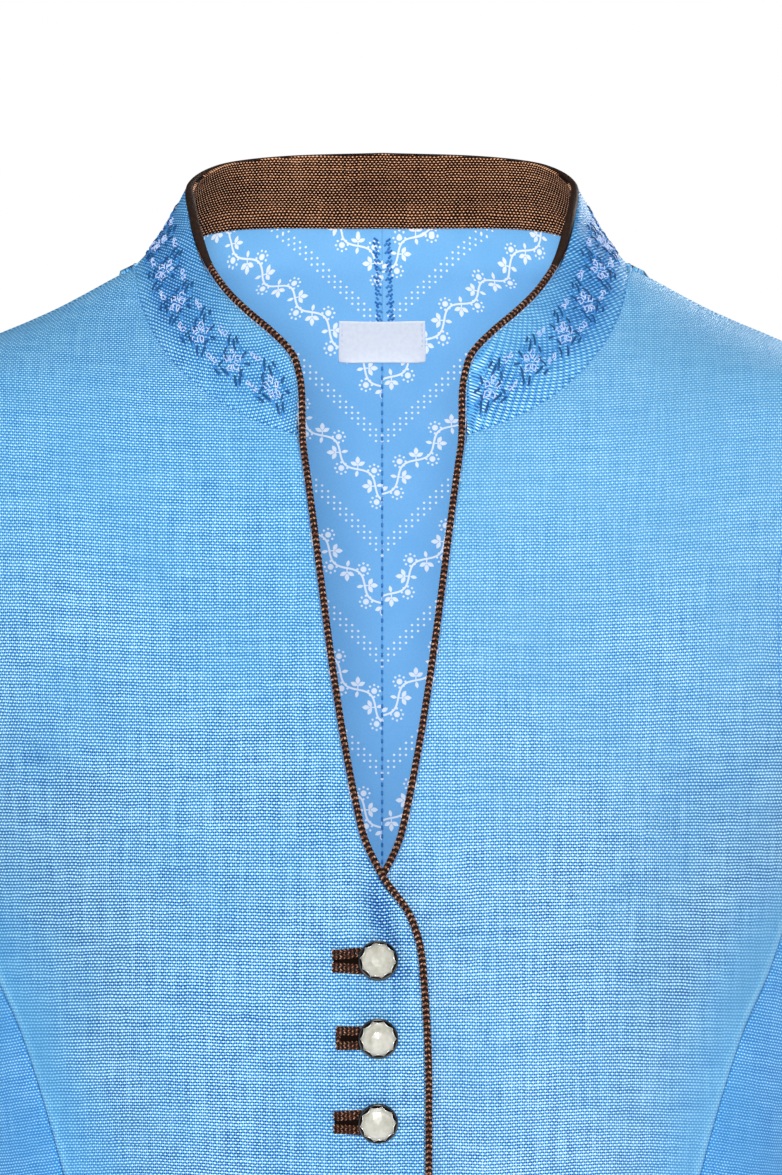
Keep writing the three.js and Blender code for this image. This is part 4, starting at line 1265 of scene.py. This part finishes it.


# %% [markdown]
# ## Edging
#
# The edge of the opening is finished with a narrow brown plait of three round strands, sewn on
# along its middle. The right one goes on below the opening, down to the waist, because the right
# front laps over. On the sides and the back of the collar the plait gives way to a plain round
# cord of the same cotton, which is easier to wear against the neck. The material paints the
# plait nearly black in its gaps, as painted shade, and light on its crowns, as a painted highlight,
# and gives each strand its twisted threads.

# %% Brown cotton
def twisted_cotton(name, tones, twist=0.75, roughness=0.55, gaps=0.42):
    """Yarn with its own twist: fine slanted ridges that run round each strand. The tones go from painted
    shade in the gaps between the strands to a painted highlight on their crowns."""
    made, tree, shader = material(name, Roughness=roughness, Specular_IOR_Level=0.2)
    names = ("length", "round", "crown")
    kept = [add(tree, "ShaderNodeAttribute", attribute_name=name).outputs["Fac"] for name in names]
    length, turn, crown = kept
    ridge = ("SINE", ("MULTIPLY_ADD", turn, 2.0, ("MULTIPLY", length, 2 * math.pi / (twist * MM))))
    ridge = add(tree, ("MULTIPLY_ADD", ridge, 0.5, 0.5))
    place = add(tree, "ShaderNodeTexCoord").outputs["Object"]
    noise = add(tree, "ShaderNodeTexNoise", Vector=place, Scale=900.0, Detail=2.0)
    level = ("ADD", ("MULTIPLY", ridge, 0.14), ("MULTIPLY", noise, 0.4))
    # Painted shade where a strand dips under the others, and a painted highlight where it rises over them.
    level = ("ADD", level, ("MULTIPLY", crown, gaps))
    tint = add(tree, "ShaderNodeValToRGB", level, tones=list(zip((0.18, 0.48, 0.84), tones)))
    bump = add(tree, "ShaderNodeBump", Height=ridge, Distance=0.05 * MM, Strength=0.8)
    add(tree, shader, Base_Color=tint, Normal=bump)
    return made


# Mercerised yarn has a real gloss; the pale crowns are a painted highlight on top of it, and the nearly
# black gaps are painted shade.
BROWN_BRAID = twisted_cotton("Brown cotton braid, shiny yarn", ("#0C0402", "#5E2E18", "#FFCFAA"), gaps=0.4)
# The plain cord is duller and more even, and its twist is finer.
BROWN_CORD = twisted_cotton("Brown cotton cord, plain", ("#1A0D06", "#3F2617", "#6B4731"), 0.5, 0.7)

# %% The line of the edging
CORD_PROUD = -0.3  # how far its middle is above the face of the fronts
CORD_SPACE = 1.75  # how far its middle is beyond the edge of the collar
CORD_STOP_Z = -216.5  # where the left one ends, under the right front
PLAIT_END = 76  # degrees round the collar where the plait gives way to the cord


def edging_line(side):
    """The edging's middle line and the directions that face out of the cloth, from below."""
    lowest = WAIST_Z + SEAM_GAP if side < 0 else CORD_STOP_Z
    z = np.linspace(lowest, -64, 130)
    here, out = on_body(turn_at(opening_x(z), z), z, side)
    sink = lap_sink(here) if side > 0 else 0 * z
    lines = [here + out * (CORD_PROUD - sink)[:, None]]
    outs = [out]
    middle = -(LINEN + SEAM_GAP + LINING) / 2
    for up, rise in ((0.05, 0), (0.45, 0), (0.8, 0), (1, 0.6)):
        here, out = on_collar(np.array([NECK_START]), np.array([up]), side)
        away = unit(np.array([-side, 0, rise]))
        lines.append(here + out * middle + away * CORD_SPACE)
        outs.append(out)
    turn = np.radians(np.linspace(24, 179.8, 90))
    here, out = on_collar(turn, 1 + 0 * turn, side)
    run = collar_point(turn + 0.02, 1 + 0 * turn, side) - collar_point(turn - 0.02, 1 + 0 * turn, side)
    away = unit(np.cross(out, run)) * side
    lines.append(here + out * middle + away * CORD_SPACE)
    outs.append(out)
    return np.concatenate(lines), np.concatenate(outs), turn


def even_line(points, out, step):
    """The same line at even steps, a little smoothed so that the plait turns softly."""
    gone = walked(points)
    at = np.linspace(0, gone[-1], round(gone[-1] / step) + 1)
    both = [np.stack([np.interp(at, gone, part[:, k]) for k in range(3)], -1) for part in (points, out)]
    for _ in range(6):
        for part in both:
            part[1:-1] = (part[:-2] + 2 * part[1:-1] + part[2:]) / 4
    return both[0], unit(both[1])


PLAIT = plait_tree("plait", BROWN_BRAID)
EDGINGS = {}
CORD_LINES = {}
for hand, side in SIDES.items():
    points, out, turn = edging_line(side)
    last = len(points) - int(np.sum(turn > math.radians(PLAIT_END)))
    line, facing = even_line(points[:last], out[:last], 1.0)
    piece = lines_object(f"edging_{hand}_plait", [line], out=[facing])
    EDGINGS[hand] = grow(piece, PLAIT, strands=3)
    CORD_LINES[hand] = (points[last - 2 :], out[last - 2 :])


# %% The plain cord round the collar
TUBE_SIDES, CAP_RINGS = 12, 3


def tube(name, line, radius, finish):
    """A round tube along a line, with a radius for each point and rounded ends."""
    run = unit(np.gradient(line, axis=0))
    up = unit(np.cross(run, [0.0, 0.0, 1.0]))
    up[np.linalg.norm(up, axis=-1) < 0.5] = [1, 0, 0]
    aside = np.cross(run, up)
    angle = np.linspace(0, 2 * math.pi, TUBE_SIDES, endpoint=False)
    ring = up[:, None] * np.cos(angle)[None, :, None] + aside[:, None] * np.sin(angle)[None, :, None]
    points = line[:, None] + ring * np.asarray(radius)[:, None, None]
    for cap in range(1, CAP_RINGS + 1):
        t = math.pi / 2 * cap / CAP_RINGS
        for end, sign in ((0, -1), (-1, 1)):
            middle = line[end] + sign * run[end] * radius[end] * math.sin(t)
            extra = middle + ring[end] * radius[end] * max(math.cos(t), 0.02)
            points = np.concatenate([extra[None], points] if end == 0 else [points, extra[None]])
    rows = len(points)
    quads, number = ring_faces(rows, TUBE_SIDES)
    quads += [number[0][::-1].tolist(), number[-1].tolist()]
    piece = mesh_object(name, points.reshape(-1, 3), quads, None, finish)
    step = np.linalg.norm(line[1] - line[0])
    mark(piece.data, "length", np.repeat(np.arange(rows), TUBE_SIDES) * step * MM)
    mark(piece.data, "round", np.tile(angle, rows))
    return piece


# The cord swells where it starts, is thinner behind, and lies out over the cloth's edge there.
CORD_SWELL, CORD_TAPER, CORD_OUT = 0.3, 0.9, 0.75
CORDS = {}
for hand in SIDES:
    line, facing = even_line(*CORD_LINES[hand], 1.0)
    share = np.linspace(0, 1, len(line))
    behind = smooth(share, 0.25, 0.55)
    radius = CORD_RADIUS + CORD_SWELL * smooth(share, 0.0, 0.12) - CORD_TAPER * behind
    line = line + facing * (CORD_OUT * behind)[:, None]
    CORDS[hand] = tube(f"collar_cord_{hand}", line, radius, BROWN_CORD)

# %% [markdown]
# ## Buttonholes
#
# Each buttonhole lies level on the right front. Its two lips are sewn above and below the slit, each
# of two narrow lengths of plait, and the dark of the slit shows between them. Where the slit gapes,
# one more plait closes its far end. No two are quite the same, because a hand sews them.

# %% Plaited lips and the slit
BUTTON = {"count": 6, "first": -244, "spacing": 28.5, "x": -1.4, "radius": 7, "lift": 1.5}
HOLE = {"to": 1.6, "open": 2.2, "rise": 0.5}
LIP_SHARES = (0.26, 0.76)  # where the two plaits of a lip lie, from the slit outwards
CLOSED_SLIT = 1.5  # a slit that gapes more has a plait across its end
BUTTON_SHIFT = (-0.4, 1.2, 0.3, -0.3, 0.4, -0.2)  # sewn by hand, so not quite evenly
HOLES = table(  # where each starts, how high its lips are, and how far it gapes at that end
    "start lip slit", (-17.3, 3.6, 0.8), (-15.9, 2.8, 2.3), (-16.8, 3.3, 1.1),
    (-16.3, 3.0, 1.8), (-17.0, 3.4, 1.0), (-16.4, 2.9, 1.9),
)  # fmt: skip


def on_right_front(x, z):
    """Points of the right front's face; x is the frame's own, below 0 on that side."""
    here, out = on_body(turn_at(-x, z), z, -1)
    return here + out * crease_lift("front_right", here)[..., None], out


def button_height(i):
    return BUTTON["first"] - BUTTON["spacing"] * i + BUTTON_SHIFT[i]


def hole_lips():
    lines, outs = [], []
    for i in range(BUTTON["count"]):
        start, lip, slit = (HOLES[key][i] for key in ("start", "lip", "slit"))
        x = np.linspace(start, HOLE["to"], 24)
        half = mix(slit, HOLE["open"], smooth(x, start, -6)) / 2
        middle = button_height(i)
        rows = [(x, middle + way * (half + lip * share)) for way in (-1, 1) for share in LIP_SHARES]
        if slit > CLOSED_SLIT:
            across = np.linspace(-1, 1, 12)
            rows.append((start + 0.6 + 0 * across, middle + across * (slit / 2 + lip * 0.4)))
        for x, z in rows:
            here, out = on_right_front(x, z)
            lines.append(here + out * HOLE["rise"])
            outs.append(out)
    return lines, outs


lines, outs = hole_lips()
LIPS = lines_object("buttonhole_lips", lines, out=outs)
grow(LIPS, PLAIT, strands=3, half=0.62 * MM, deep=0.28 * MM, pitch=2.3 * MM, thick=0.36 * MM)

# The cloth in the slit lies in shade: nearly black, with a brown fleck.
DULL = {"Roughness": 0.95, "Specular_IOR_Level": 0.1}
SHADE = two_tones("Brown facing cloth in shade", "#060201", "#170B05", 1500.0, **DULL)


def make_slits():
    rows, columns = 5, 12
    points, quads = [], []
    for i in range(BUTTON["count"]):
        middle = button_height(i)
        x = np.linspace(HOLES["start"][i] + 0.3, HOLE["to"], columns)
        here, out = on_right_front(*np.meshgrid(x, middle + np.linspace(1.9, -1.9, rows)))
        top, low = ((here + out * rise).reshape(-1, 3) for rise in (0.34, 0.02))
        half = rows * columns
        start = len(points) * 2 * half
        grid = np.arange(half).reshape(rows, columns) + start
        faces = net_faces(rows, columns) + start
        rim = [*grid[0], *grid[1:, -1], *grid[-1, -2::-1], *grid[-2:0:-1, 0]]
        walls = [(a, b, b + half, a + half) for a, b in zip(rim, rim[1:] + rim[:1])]
        points.append(np.concatenate([top, low]))
        quads += faces.tolist() + [tuple(f[::-1] + half) for f in faces] + walls
    return mesh_object("buttonhole_slits", np.concatenate(points), quads, None, SHADE, False)


SLITS = make_slits()

# %% [markdown]
# ## Buttons
#
# Such buttons are pearly cut stones in a dark silver cup. The cup's rim is pressed into a row of
# small round lobes that hold the stone. One section, turned round the button's axis, gives the cup,
# and the lobes move the inner edge of its rim in and out. The stone is cut with a round table in
# the middle and two rings of flat facets, so its faces are shaded flat.

# %% Silver and stone
def make_silver():
    """Old silver is dark in its hollows, and rubbed bright on the edges that hands and cloth touch."""
    made, tree, shader = material("Silver, oxidised and rubbed bright", Metallic=1.0, Roughness=0.34)
    rubbed = add(tree, "ShaderNodeAttribute", attribute_name="edge").outputs["Fac"]
    place = add(tree, "ShaderNodeTexCoord").outputs["Object"]
    patina = add(tree, "ShaderNodeTexNoise", Vector=place, Scale=700.0, Detail=4.0)
    patina = add(tree, "ShaderNodeMix", data_type="RGBA", Factor=patina, A="#060505", B="#37312D")
    patina = add(tree, "ShaderNodeMix", data_type="RGBA", Factor=rubbed, A=patina, B="#F4F2EE")
    add(tree, shader, Base_Color=patina)
    return made


def make_stone():
    """Mother of pearl has soft clouds of grey, yellow and white below a polished face."""
    looks = {"Roughness": 0.3, "Coat_Weight": 0.35, "Coat_Roughness": 0.1, "IOR": 1.5}
    made, tree, shader = material("Mother of pearl, cut and polished", **looks)
    place = add(tree, "ShaderNodeTexCoord").outputs["Object"]
    cloud = add(tree, "ShaderNodeTexNoise", Vector=place, Scale=220.0, Detail=3.0, Distortion=0.7)
    pearl = [(0.3, "#9A9888"), (0.5, "#ABAA9F"), (0.7, "#BFBCB2")]
    add(tree, shader, Base_Color=add(tree, "ShaderNodeValToRGB", cloud, tones=pearl))
    return made


SILVER, STONE = make_silver(), make_stone()

# %% Cup and stone
CUP_STEPS, LOBES, FACETS = 120, 10, 10
CUP_EDGES = ((8, 1.0), (5, 0.2))  # the rows of the section that are rubbed bright, and how much
STONE_DOME = 0.32  # how far the table rises to its middle
BUTTON_SPIN = (11, -17, 24, 5, -9, 31)  # degrees that each button is turned on its shank


def cup_rows(lobe):
    """Radius and height of the cup's section; lobe is 1 in the middle of a lobe, 0 between two."""
    low = BUTTON["lift"]
    return [
        (0.0, low), (5.9, low), (6.75, low + 0.25), (7.05, low + 0.8), (7.05, low + 1.5),
        (6.95, low + 2.1), (6.75, low + 2.45), (6.55 - 0.2 * lobe, low + 2.62 + 0.1 * lobe),
        (6.4 - 0.72 * lobe, low + 2.75 + 0.3 * lobe), (6.34 - 0.92 * lobe, low + 2.8 + 0.36 * lobe),
        (6.3 - 0.98 * lobe, low + 2.65 + 0.3 * lobe), (6.25 - 0.1 * lobe, low + 2.2),
        (6.2, low + 1.2), (0.0, low + 1.2),
    ]  # fmt: skip


def stone_rows():
    """Radius, height, turn and number of corners of each ring of the stone."""
    low = BUTTON["lift"]
    sides = 2 * FACETS
    return [
        (6.15, low + 1.25, 0.0, sides), (6.1, low + 2.4, 0.0, sides),
        (4.9, low + 3.75, 0.5, FACETS), (2.5, low + 4.35, 0.0, FACETS),
    ]  # fmt: skip


def button_axes(i):
    z = np.array(float(button_height(i)))
    here, out = on_right_front(np.array(float(BUTTON["x"])), z)
    up = unit(np.array([0, 0, 1.0]) - out * out[2])
    aside, spin = np.cross(up, out), math.radians(BUTTON_SPIN[i])
    c, s = math.cos(spin), math.sin(spin)
    return here, np.stack([aside * c + up * s, up * c - aside * s, out])


def make_cups():
    angle = np.linspace(0, 2 * math.pi, CUP_STEPS, endpoint=False)
    lobe = np.abs(np.cos(angle * LOBES / 2)) ** 0.8
    section = [(r + 0 * angle, h + 0 * angle) for r, h in cup_rows(lobe)]
    rings = np.stack([np.stack([r * np.cos(angle), r * np.sin(angle), h], -1) for r, h in section[1:-1]])
    rows = len(rings)
    ends = [[0, 0, section[0][1][0]], [0, 0, section[-1][1][0]]]
    own = np.concatenate([rings.reshape(-1, 3), ends])
    points, faces = [], []
    for i in range(BUTTON["count"]):
        here, axes = button_axes(i)
        quads, number = ring_faces(rows, CUP_STEPS, len(own) * i)
        after = np.roll(number, -1, axis=1)
        low, high = number.max() + 1, number.max() + 2
        faces += quads + [(low, b, a) for a, b in zip(number[0], after[0])]
        faces += [(high, a, b) for a, b in zip(number[-1], after[-1])]
        points.append(own @ axes + here)
    piece = mesh_object("button_cups", np.concatenate(points), faces, None, SILVER)
    edge = np.zeros((BUTTON["count"], len(own)))
    for row, bright in CUP_EDGES:
        edge[:, row * CUP_STEPS : (row + 1) * CUP_STEPS] = bright
    mark(piece.data, "edge", edge)
    return piece


def make_stones():
    """Facets between rings that have 20 or 10 corners, and a flat table on top."""
    sides = 2 * FACETS
    rings, numbers, count = [], [], 0
    for radius, height, shift, corners in stone_rows():
        angle = (np.arange(corners) + shift) / corners * 2 * math.pi
        rings.append(np.stack([radius * np.cos(angle), radius * np.sin(angle), height + 0 * angle], -1))
        numbers.append(count + np.arange(corners))
        count += corners
    rings.append(np.array([[0, 0, stone_rows()[0][1]], [0, 0, stone_rows()[-1][1] + STONE_DOME]]))
    own = np.concatenate(rings)
    points, faces = [], []
    for i in range(BUTTON["count"]):
        here, axes = button_axes(i)
        floor = len(own) * i + count
        wide, girdle, crown, top = (number + len(own) * i for number in numbers)
        for k in range(sides):
            faces.append((wide[k], wide[(k + 1) % sides], girdle[(k + 1) % sides], girdle[k]))
            faces.append((floor, wide[(k + 1) % sides], wide[k]))
        for k in range(FACETS):
            a, b, c = girdle[2 * k], girdle[(2 * k + 1) % sides], girdle[(2 * k + 2) % sides]
            after = (k + 1) % FACETS
            faces += [(a, b, crown[k]), (b, c, crown[k])]
            faces += [(crown[k], c, crown[after]), (crown[k], crown[after], top[after])]
            faces += [(top[k], crown[k], top[after]), (top[k], top[after], floor + 1)]
        points.append(own @ axes + here)
    return mesh_object("button_stones", np.concatenate(points), faces, None, STONE, False)


CUPS, STONES = make_cups(), make_stones()
bevel = STONES.modifiers.new("soft facets", "BEVEL")
bevel.width, bevel.segments = 0.16 * MM, 2
bevel.limit_method, bevel.angle_limit = "ANGLE", math.radians(8)

# %% [markdown]
# ## Neck label
#
# The woven label is a small band of white satin, sewn to the lining at both short ends. It is left
# bare. Its long edges are free, so they curl up a little, and the lower one casts a thin shadow.

# %% White satin and the label
LABEL = {"wide": 31.2, "top": -18.2, "high": 14.2, "thick": 0.45}
SATIN_RIB = 0.42


def make_satin():
    """Satin shines softly, along fine upright ribs."""
    looks = {"Roughness": 0.42, "Specular_IOR_Level": 0.5, "Sheen_Weight": 0.2}
    made, tree, shader = material("White satin, woven", **looks)
    flat = add(tree, "ShaderNodeUVMap", uv_map="cloth")
    across = add(tree, "ShaderNodeSeparateXYZ", flat)
    rib = add(tree, ("MULTIPLY_ADD", ("SINE", ("MULTIPLY", across, 2 * math.pi / SATIN_RIB)), 0.5, 0.5))
    wisp = add(tree, "ShaderNodeTexNoise", Vector=flat, Scale=0.7, Detail=4.0)
    level = ("ADD", ("MULTIPLY", rib, 0.35), ("MULTIPLY", wisp, 0.7))
    tint = add(tree, "ShaderNodeMix", data_type="RGBA", Factor=level, A="#D3DCEA", B="#F7F9FD")
    bump = add(tree, "ShaderNodeBump", Height=rib, Distance=0.05 * MM, Strength=0.6)
    add(tree, shader, Base_Color=tint, Normal=bump)
    return made


SATIN = make_satin()
LINING_FACE = -LINEN - SEAM_GAP - LINING


def on_lining(x, z):
    """Points of the lining's inner face, and the directions into the dress."""
    here, out = on_body(turn_at(x, z, True), z, 1)
    return here + out * LINING_FACE, -out


def make_label():
    u, v = np.linspace(-1, 1, 63)[None, :], np.linspace(0, 1, 30)[:, None]
    x = LABEL["wide"] / 2 * u * (1 - 0.006 * np.cos(math.pi * v)) + 0 * v
    z = LABEL["top"] - LABEL["high"] * v + 0.25 * np.cos(math.pi * u) * (v - 0.5)
    here, out = on_lining(x, z)
    free = 1 - np.abs(u) ** 6
    curl = 1.5 * v**3 + 0.18 * (1 - v) ** 4 + 0.12 * np.cos(3.2 * u + 1)
    points = here + out * (0.15 + LABEL["thick"] + free * curl)[..., None]
    return shell("neck_label", points, out, np.stack([x, z], -1), SATIN, LABEL["thick"])


LABEL_PIECE = make_label()

# %% [markdown]
# ## Embroidery
#
# The collar carries a band of hand embroidery: small pale flowers of looped petals, one after the
# other, with three-petalled buds between them, and pairs of dark blue leaves set round each one.
# The chart below gives one flower and its leaves in millimetres. It is worked round the neck with
# small differences from flower to flower, as a hand makes them. At the centre back the stitches
# come through to the lining, where two rows of slanted dashes show.

# %% Threads
THREADS = {  # stranded cotton has a silky shine, and fine strands that its noise stands for
    kind: two_tones(name, *tones, 700.0, 3.0, 0.08, Roughness=0.42, Specular_IOR_Level=0.3)
    for kind, name, tones in (
        ("dark", "Stranded cotton, dark blue", ("#042A57", "#17609F")),
        ("sky", "Stranded cotton, mid blue", ("#1D6CB4", "#4A9ADF")),
        ("seam", "Sewing cotton, blue", ("#0E56A2", "#2F86D6")),
        ("pale", "Stranded cotton, pale lavender blue", ("#6C9CE0", "#EAF0FF")),
    )
}

# %% The chart of one flower
FLOWER_STEP, FIRST_FLOWER = 19.0, 12.5
LEAF_CHART = table(
    "x y angle long",
    (1.1, 7.7, 104, 3.5), (-1.2, 5.7, 80, 3.2), (3.0, 4.4, 122, 2.7), (3.7, -3.0, 44, 3.4),
    (0.1, -6.3, 90, 3.2), (-2.3, -6.9, 112, 3.7), (-3.5, -3.4, 132, 2.3), (5.6, -0.5, 142, 2.5),
    (6.9, -3.3, 50, 2.4), (-5.7, 1.8, 134, 2.7), (-6.7, -1.5, 18, 2.2), (3.4, 1.5, 96, 2.2),
    (-3.0, 7.4, 66, 2.2),
)  # fmt: skip
SKY_CHART = table(
    "x y angle long",
    (2.2, 6.2, 96, 2.6), (-4.4, 4.2, 70, 2.2), (4.8, 2.6, 150, 2.2), (1.8, -4.4, 60, 2.4),
    (-1.2, -8.6, 100, 2.4), (8.2, -2.0, 30, 2.2), (-5.2, -0.2, 160, 2.0), (-4.6, -5.2, 40, 2.0),
)  # fmt: skip
PETAL_ANGLES = (20, 92, 160, 236, 304)
BUDS = ((5.0, 10.2), (9.8, 1.0))
TO_BAND = np.array([[0.83, 0.55], [-0.55, 0.83]])  # the chart leans to the band by this turn


def strokes(rows):
    """Start and end of each stitch of a chart."""
    angle = np.radians(rows["angle"])
    run = np.stack([np.cos(angle), np.sin(angle)], -1) * rows["long"][:, None] * 0.6
    middle = np.stack([rows["x"], rows["y"]], -1)
    return np.stack([middle - run, middle + run], 1)


def petals(x, y, angles, inner, outer, wide):
    """Each petal is a loop of four stitches: two along one side to its tip, and two on the other."""
    parts = []
    for angle in np.radians(angles):
        ahead = np.array([math.cos(angle), math.sin(angle)])
        aside = np.array([-math.sin(angle), math.cos(angle)])
        start, tip = inner * ahead, outer * ahead
        for way in (-1, 1):
            middle = mix(start, tip, 0.55) + way * wide * aside
            parts += [[start, middle * 1.04], [middle, tip]]
    return np.array(parts) + np.array([x, y])


FLOWERS = [petals(0, 0, PETAL_ANGLES, 1.0, 4.2, 1.15)]
FLOWERS += [petals(x, y, (60, 190), 0.3, 2.7, 0.8) for x, y in BUDS]
CHART = {"dark": strokes(LEAF_CHART), "sky": strokes(SKY_CHART), "pale": np.concatenate(FLOWERS)}
WIDTH = {"dark": 0.82, "sky": 0.7, "pale": 0.42}


# %% Stitches round the collar
def band_scale(side):
    """Turns at even steps along the collar's middle, to look up by distance from its front end."""
    turn = np.linspace(NECK_START, math.pi, 400)
    return walked(collar_point(turn, 0.5 + 0 * turn, side)), turn, collar_height(turn, side)


def sewn(name, starts, ends, outs, kind, wide, high=0.5):
    """Stitches from points to points on a cloth, in millimetres, as one mesh."""
    run = ends - starts
    long = np.linalg.norm(run, axis=-1)
    size = np.stack([long, wide + 0 * long, high + 0 * long], -1) * MM
    piece = lines_object(name, [(starts + ends) / 2], out=[outs], lay=[unit(run)], size=[size])
    return grow(piece, STITCHES[kind])


STITCHES = {kind: stitch_tree(f"stitch_{kind}", THREADS[kind]) for kind in THREADS}
SEEDS = {"dark": 11, "sky": 12, "pale": 13}


def embroider(kind):
    """The chart of this kind all round the collar, each stitch a little off, as hands put them."""
    chance = np.random.default_rng(SEEDS[kind])
    groups = []
    for side in SIDES.values():
        gone, turns, highs = band_scale(side)
        for k in range(int((gone[-1] - FIRST_FLOWER) // FLOWER_STEP) + 1):
            chart = CHART[kind] + chance.normal(0, 0.22, (len(CHART[kind]), 1, 2))
            place = (chart + chance.normal(0, 0.12, CHART[kind].shape)) @ TO_BAND.T
            ahead = FIRST_FLOWER + FLOWER_STEP * k + place[..., 0]
            up = BAND_HEIGHT + place[..., 1] / np.interp(ahead, gone, highs)
            keep = (up.min(1) > 0.06) & (up.max(1) < 0.93)
            keep &= (ahead.min(1) > 2) & (ahead.max(1) < gone[-1] - 0.5)
            here, out = on_collar(np.interp(ahead, gone, turns), up, side)
            groups.append((here[keep, 0], here[keep, 1], out[keep, 0]))
    return sewn(f"collar_embroidery_{kind}", *map(np.concatenate, zip(*groups)), kind, WIDTH[kind])


EMBROIDERY = [embroider(kind) for kind in CHART]


# %% Stitches through the lining
def sewn_on_lining(name, rows, kind, wide, high, above=0.0):
    """Stitches between pairs of places on the lining: x and z of each start and each end."""
    rows = np.array(rows)
    starts, into = on_lining(rows[:, 0], rows[:, 1])
    ends, _ = on_lining(rows[:, 2], rows[:, 3])
    return sewn(name, starts + into * above, ends + into * above, into, kind, wide, high)


def lining_stitches():
    """Two rows of slanted dashes beside the centre back, and a running stitch down its seam."""
    chance = np.random.default_rng(21)
    parts = {"seam": [], "sky": []}
    for way in (-1, 1):
        for k, height in enumerate(np.arange(10.0, -21.0, -1.45)):
            x = way * (2.3 + 0.4 * (k % 2)) - 1.1 * (height - 10) / 30 + chance.normal(0, 0.15)
            lean = way * 0.75 * (0.6 if k % 3 else 1.1)
            high = height + chance.normal(0, 0.15)
            parts["seam" if k % 3 != 2 else "sky"].append((x + lean, high + 0.5, x - lean, high - 0.65))
            if k % 2:
                parts["sky"].append((x - way * 0.7, high + 0.4, x - way * 1.9, high - 0.8))
    parts["sky"] += [(0.0, height, 0.0, height - 2.0) for height in np.arange(-34.2, -236, -3.1)]
    name = "lining_stitches_"
    return [sewn_on_lining(name + kind, rows, kind, 0.82, 0.34) for kind, rows in parts.items()]


LINING_STITCHES = lining_stitches()


# %% Stitches at the label, the armholes, the centre back and the hem
PARTS = 8  # small steps from one stitch to the next


def running(line, out, long, gap):
    """Stitches of one length along a line."""
    at, facing = even_line(line, out, (long + gap) / PARTS)
    first = np.arange(0, len(at) - PARTS, PARTS)
    reach = max(1, round(PARTS * long / (long + gap)))
    return at[first], at[first + reach], facing[first]


def label_stitches():
    rows = [(way * 14.4, z, way * 14.4, z - 1.1) for way in (-1, 1) for z in np.arange(-18.9, -31.4, -1.85)]
    return sewn_on_lining("label_stitches", rows, "pale", 0.28, 0.16, 0.12 + LABEL["thick"])


def armhole_stitches():
    groups = []
    for kind, lowest in (("front", SPLIT_Z), ("back", ARMPIT_Z)):
        turn, z = span(PANELS[kind])
        for side in SIDES.values():
            points, out = on_body(turn, z, side)
            column = int(np.argmin(np.abs(edge_distance(points)[1][60] - 4.5)))
            keep = (z[:, column] < TIP_Z - 4) & (z[:, column] > lowest + 3)
            groups.append(running(points[keep, column], out[keep, column], 2.3, 1.0))
    return sewn("armhole_stitches", *map(np.concatenate, zip(*groups)), "sky", 0.36, 0.22)


def hem_stitches():
    line, out = on_skirt(np.linspace(0, 2 * math.pi, 1600), 1 - HEM_UP / SKIRT_LENGTH)
    return sewn("hem_stitches", *running(line - out * 0.3, out, 1.3, 5.2), "sky", 0.4, 0.25)


SEWING = [label_stitches(), armhole_stitches(), hem_stitches()]

# %% [markdown]
# ## Put the dress together
#
# Nothing on the dress moves by itself, so every piece rides on the one body. Each piece that stands
# for a solid hides that solid, and each piece of cloth prints the flat size of its cut.


SEAM_ALLOWANCE, COLLAR_ALLOWANCE = 7 * MM, 3 * MM
HELD = {  # how each cloth is held, and what holds it
    "front": ("hung", ["back"]),
    "side_front": ("hung", ["front"]),
    "back": ("hung", ["collar_outer"]),
    "lining": ("laid", ["back"]),
    "collar_outer": ("hung", ["front_right", "front_left"]),
    "collar_facing": ("laid", ["collar_outer"]),
    "skirt_front": ("gathered", ["front_right", "front_left"]),
    "skirt_back": ("gathered", ["back_right", "back_left"]),
}


def cut_size(piece, allowance):
    """Width, length and area of the flat cut, with its seam allowances."""
    place = np.empty(len(piece.data.loops) * 2)
    piece.data.uv_layers["cloth"].data.foreach_get("uv", place)
    place = place.reshape(-1, 2) * MM
    wide, high = np.ptp(place, axis=0) + 2 * allowance
    corners = place.reshape(-1, 4, 2)
    u, v = np.moveaxis(corners, -1, 0)
    area = 0.5 * np.sum(u * np.roll(v, -1, axis=1) - np.roll(u, -1, axis=1) * v)
    return (float(wide), float(high)), float(abs(area) + 2 * (wide + high) * allowance * 0.9)


for node, piece in SHEETS.items():
    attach(piece, "root")
    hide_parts(node)
    kind = node if node in HELD else node.rsplit("_", 1)[0]
    held, holders = HELD[kind]
    holders = [SHEETS[name if name in SHEETS else f"{name}_{node.rsplit('_', 1)[1]}"] for name in holders]
    if kind.startswith("collar"):
        flat, area = cut_size(SHEETS["collar_facing"], COLLAR_ALLOWANCE)
    else:
        flat, area = cut_size(piece, SEAM_ALLOWANCE)
    sewn_area = sum(face.area for face in piece.data.polygons)
    print(node, [round(v, 3) for v in flat], "cut", round(area, 4), "on the dress", round(sewn_area, 4))

ROOT_PIECES = [(EDGINGS[hand], "braid_brown", [f"edging_{hand}"]) for hand in SIDES]
ROOT_PIECES += [(CORDS[hand], "braid_brown", []) for hand in SIDES]
ROOT_PIECES += [
    (piece, slot, [f"{node}_{i + 1}" for i in range(BUTTON["count"])] if node else [])
    for piece, slot, node in (
        (LIPS, "braid_brown", "buttonhole"),
        (SLITS, "braid_brown", None),
        (CUPS, "button_metal", "button_setting"),
        (STONES, "button_stone", "button_stone"),
    )
]
ROOT_PIECES += [(LABEL_PIECE, "label_white", ["label"])]
ROOT_PIECES += [(piece, "linen_blue", []) for piece in [*EMBROIDERY, *LINING_STITCHES, *SEWING]]
for piece, slot, nodes in ROOT_PIECES:
    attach(piece, "root")
    if nodes:
        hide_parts(*nodes)
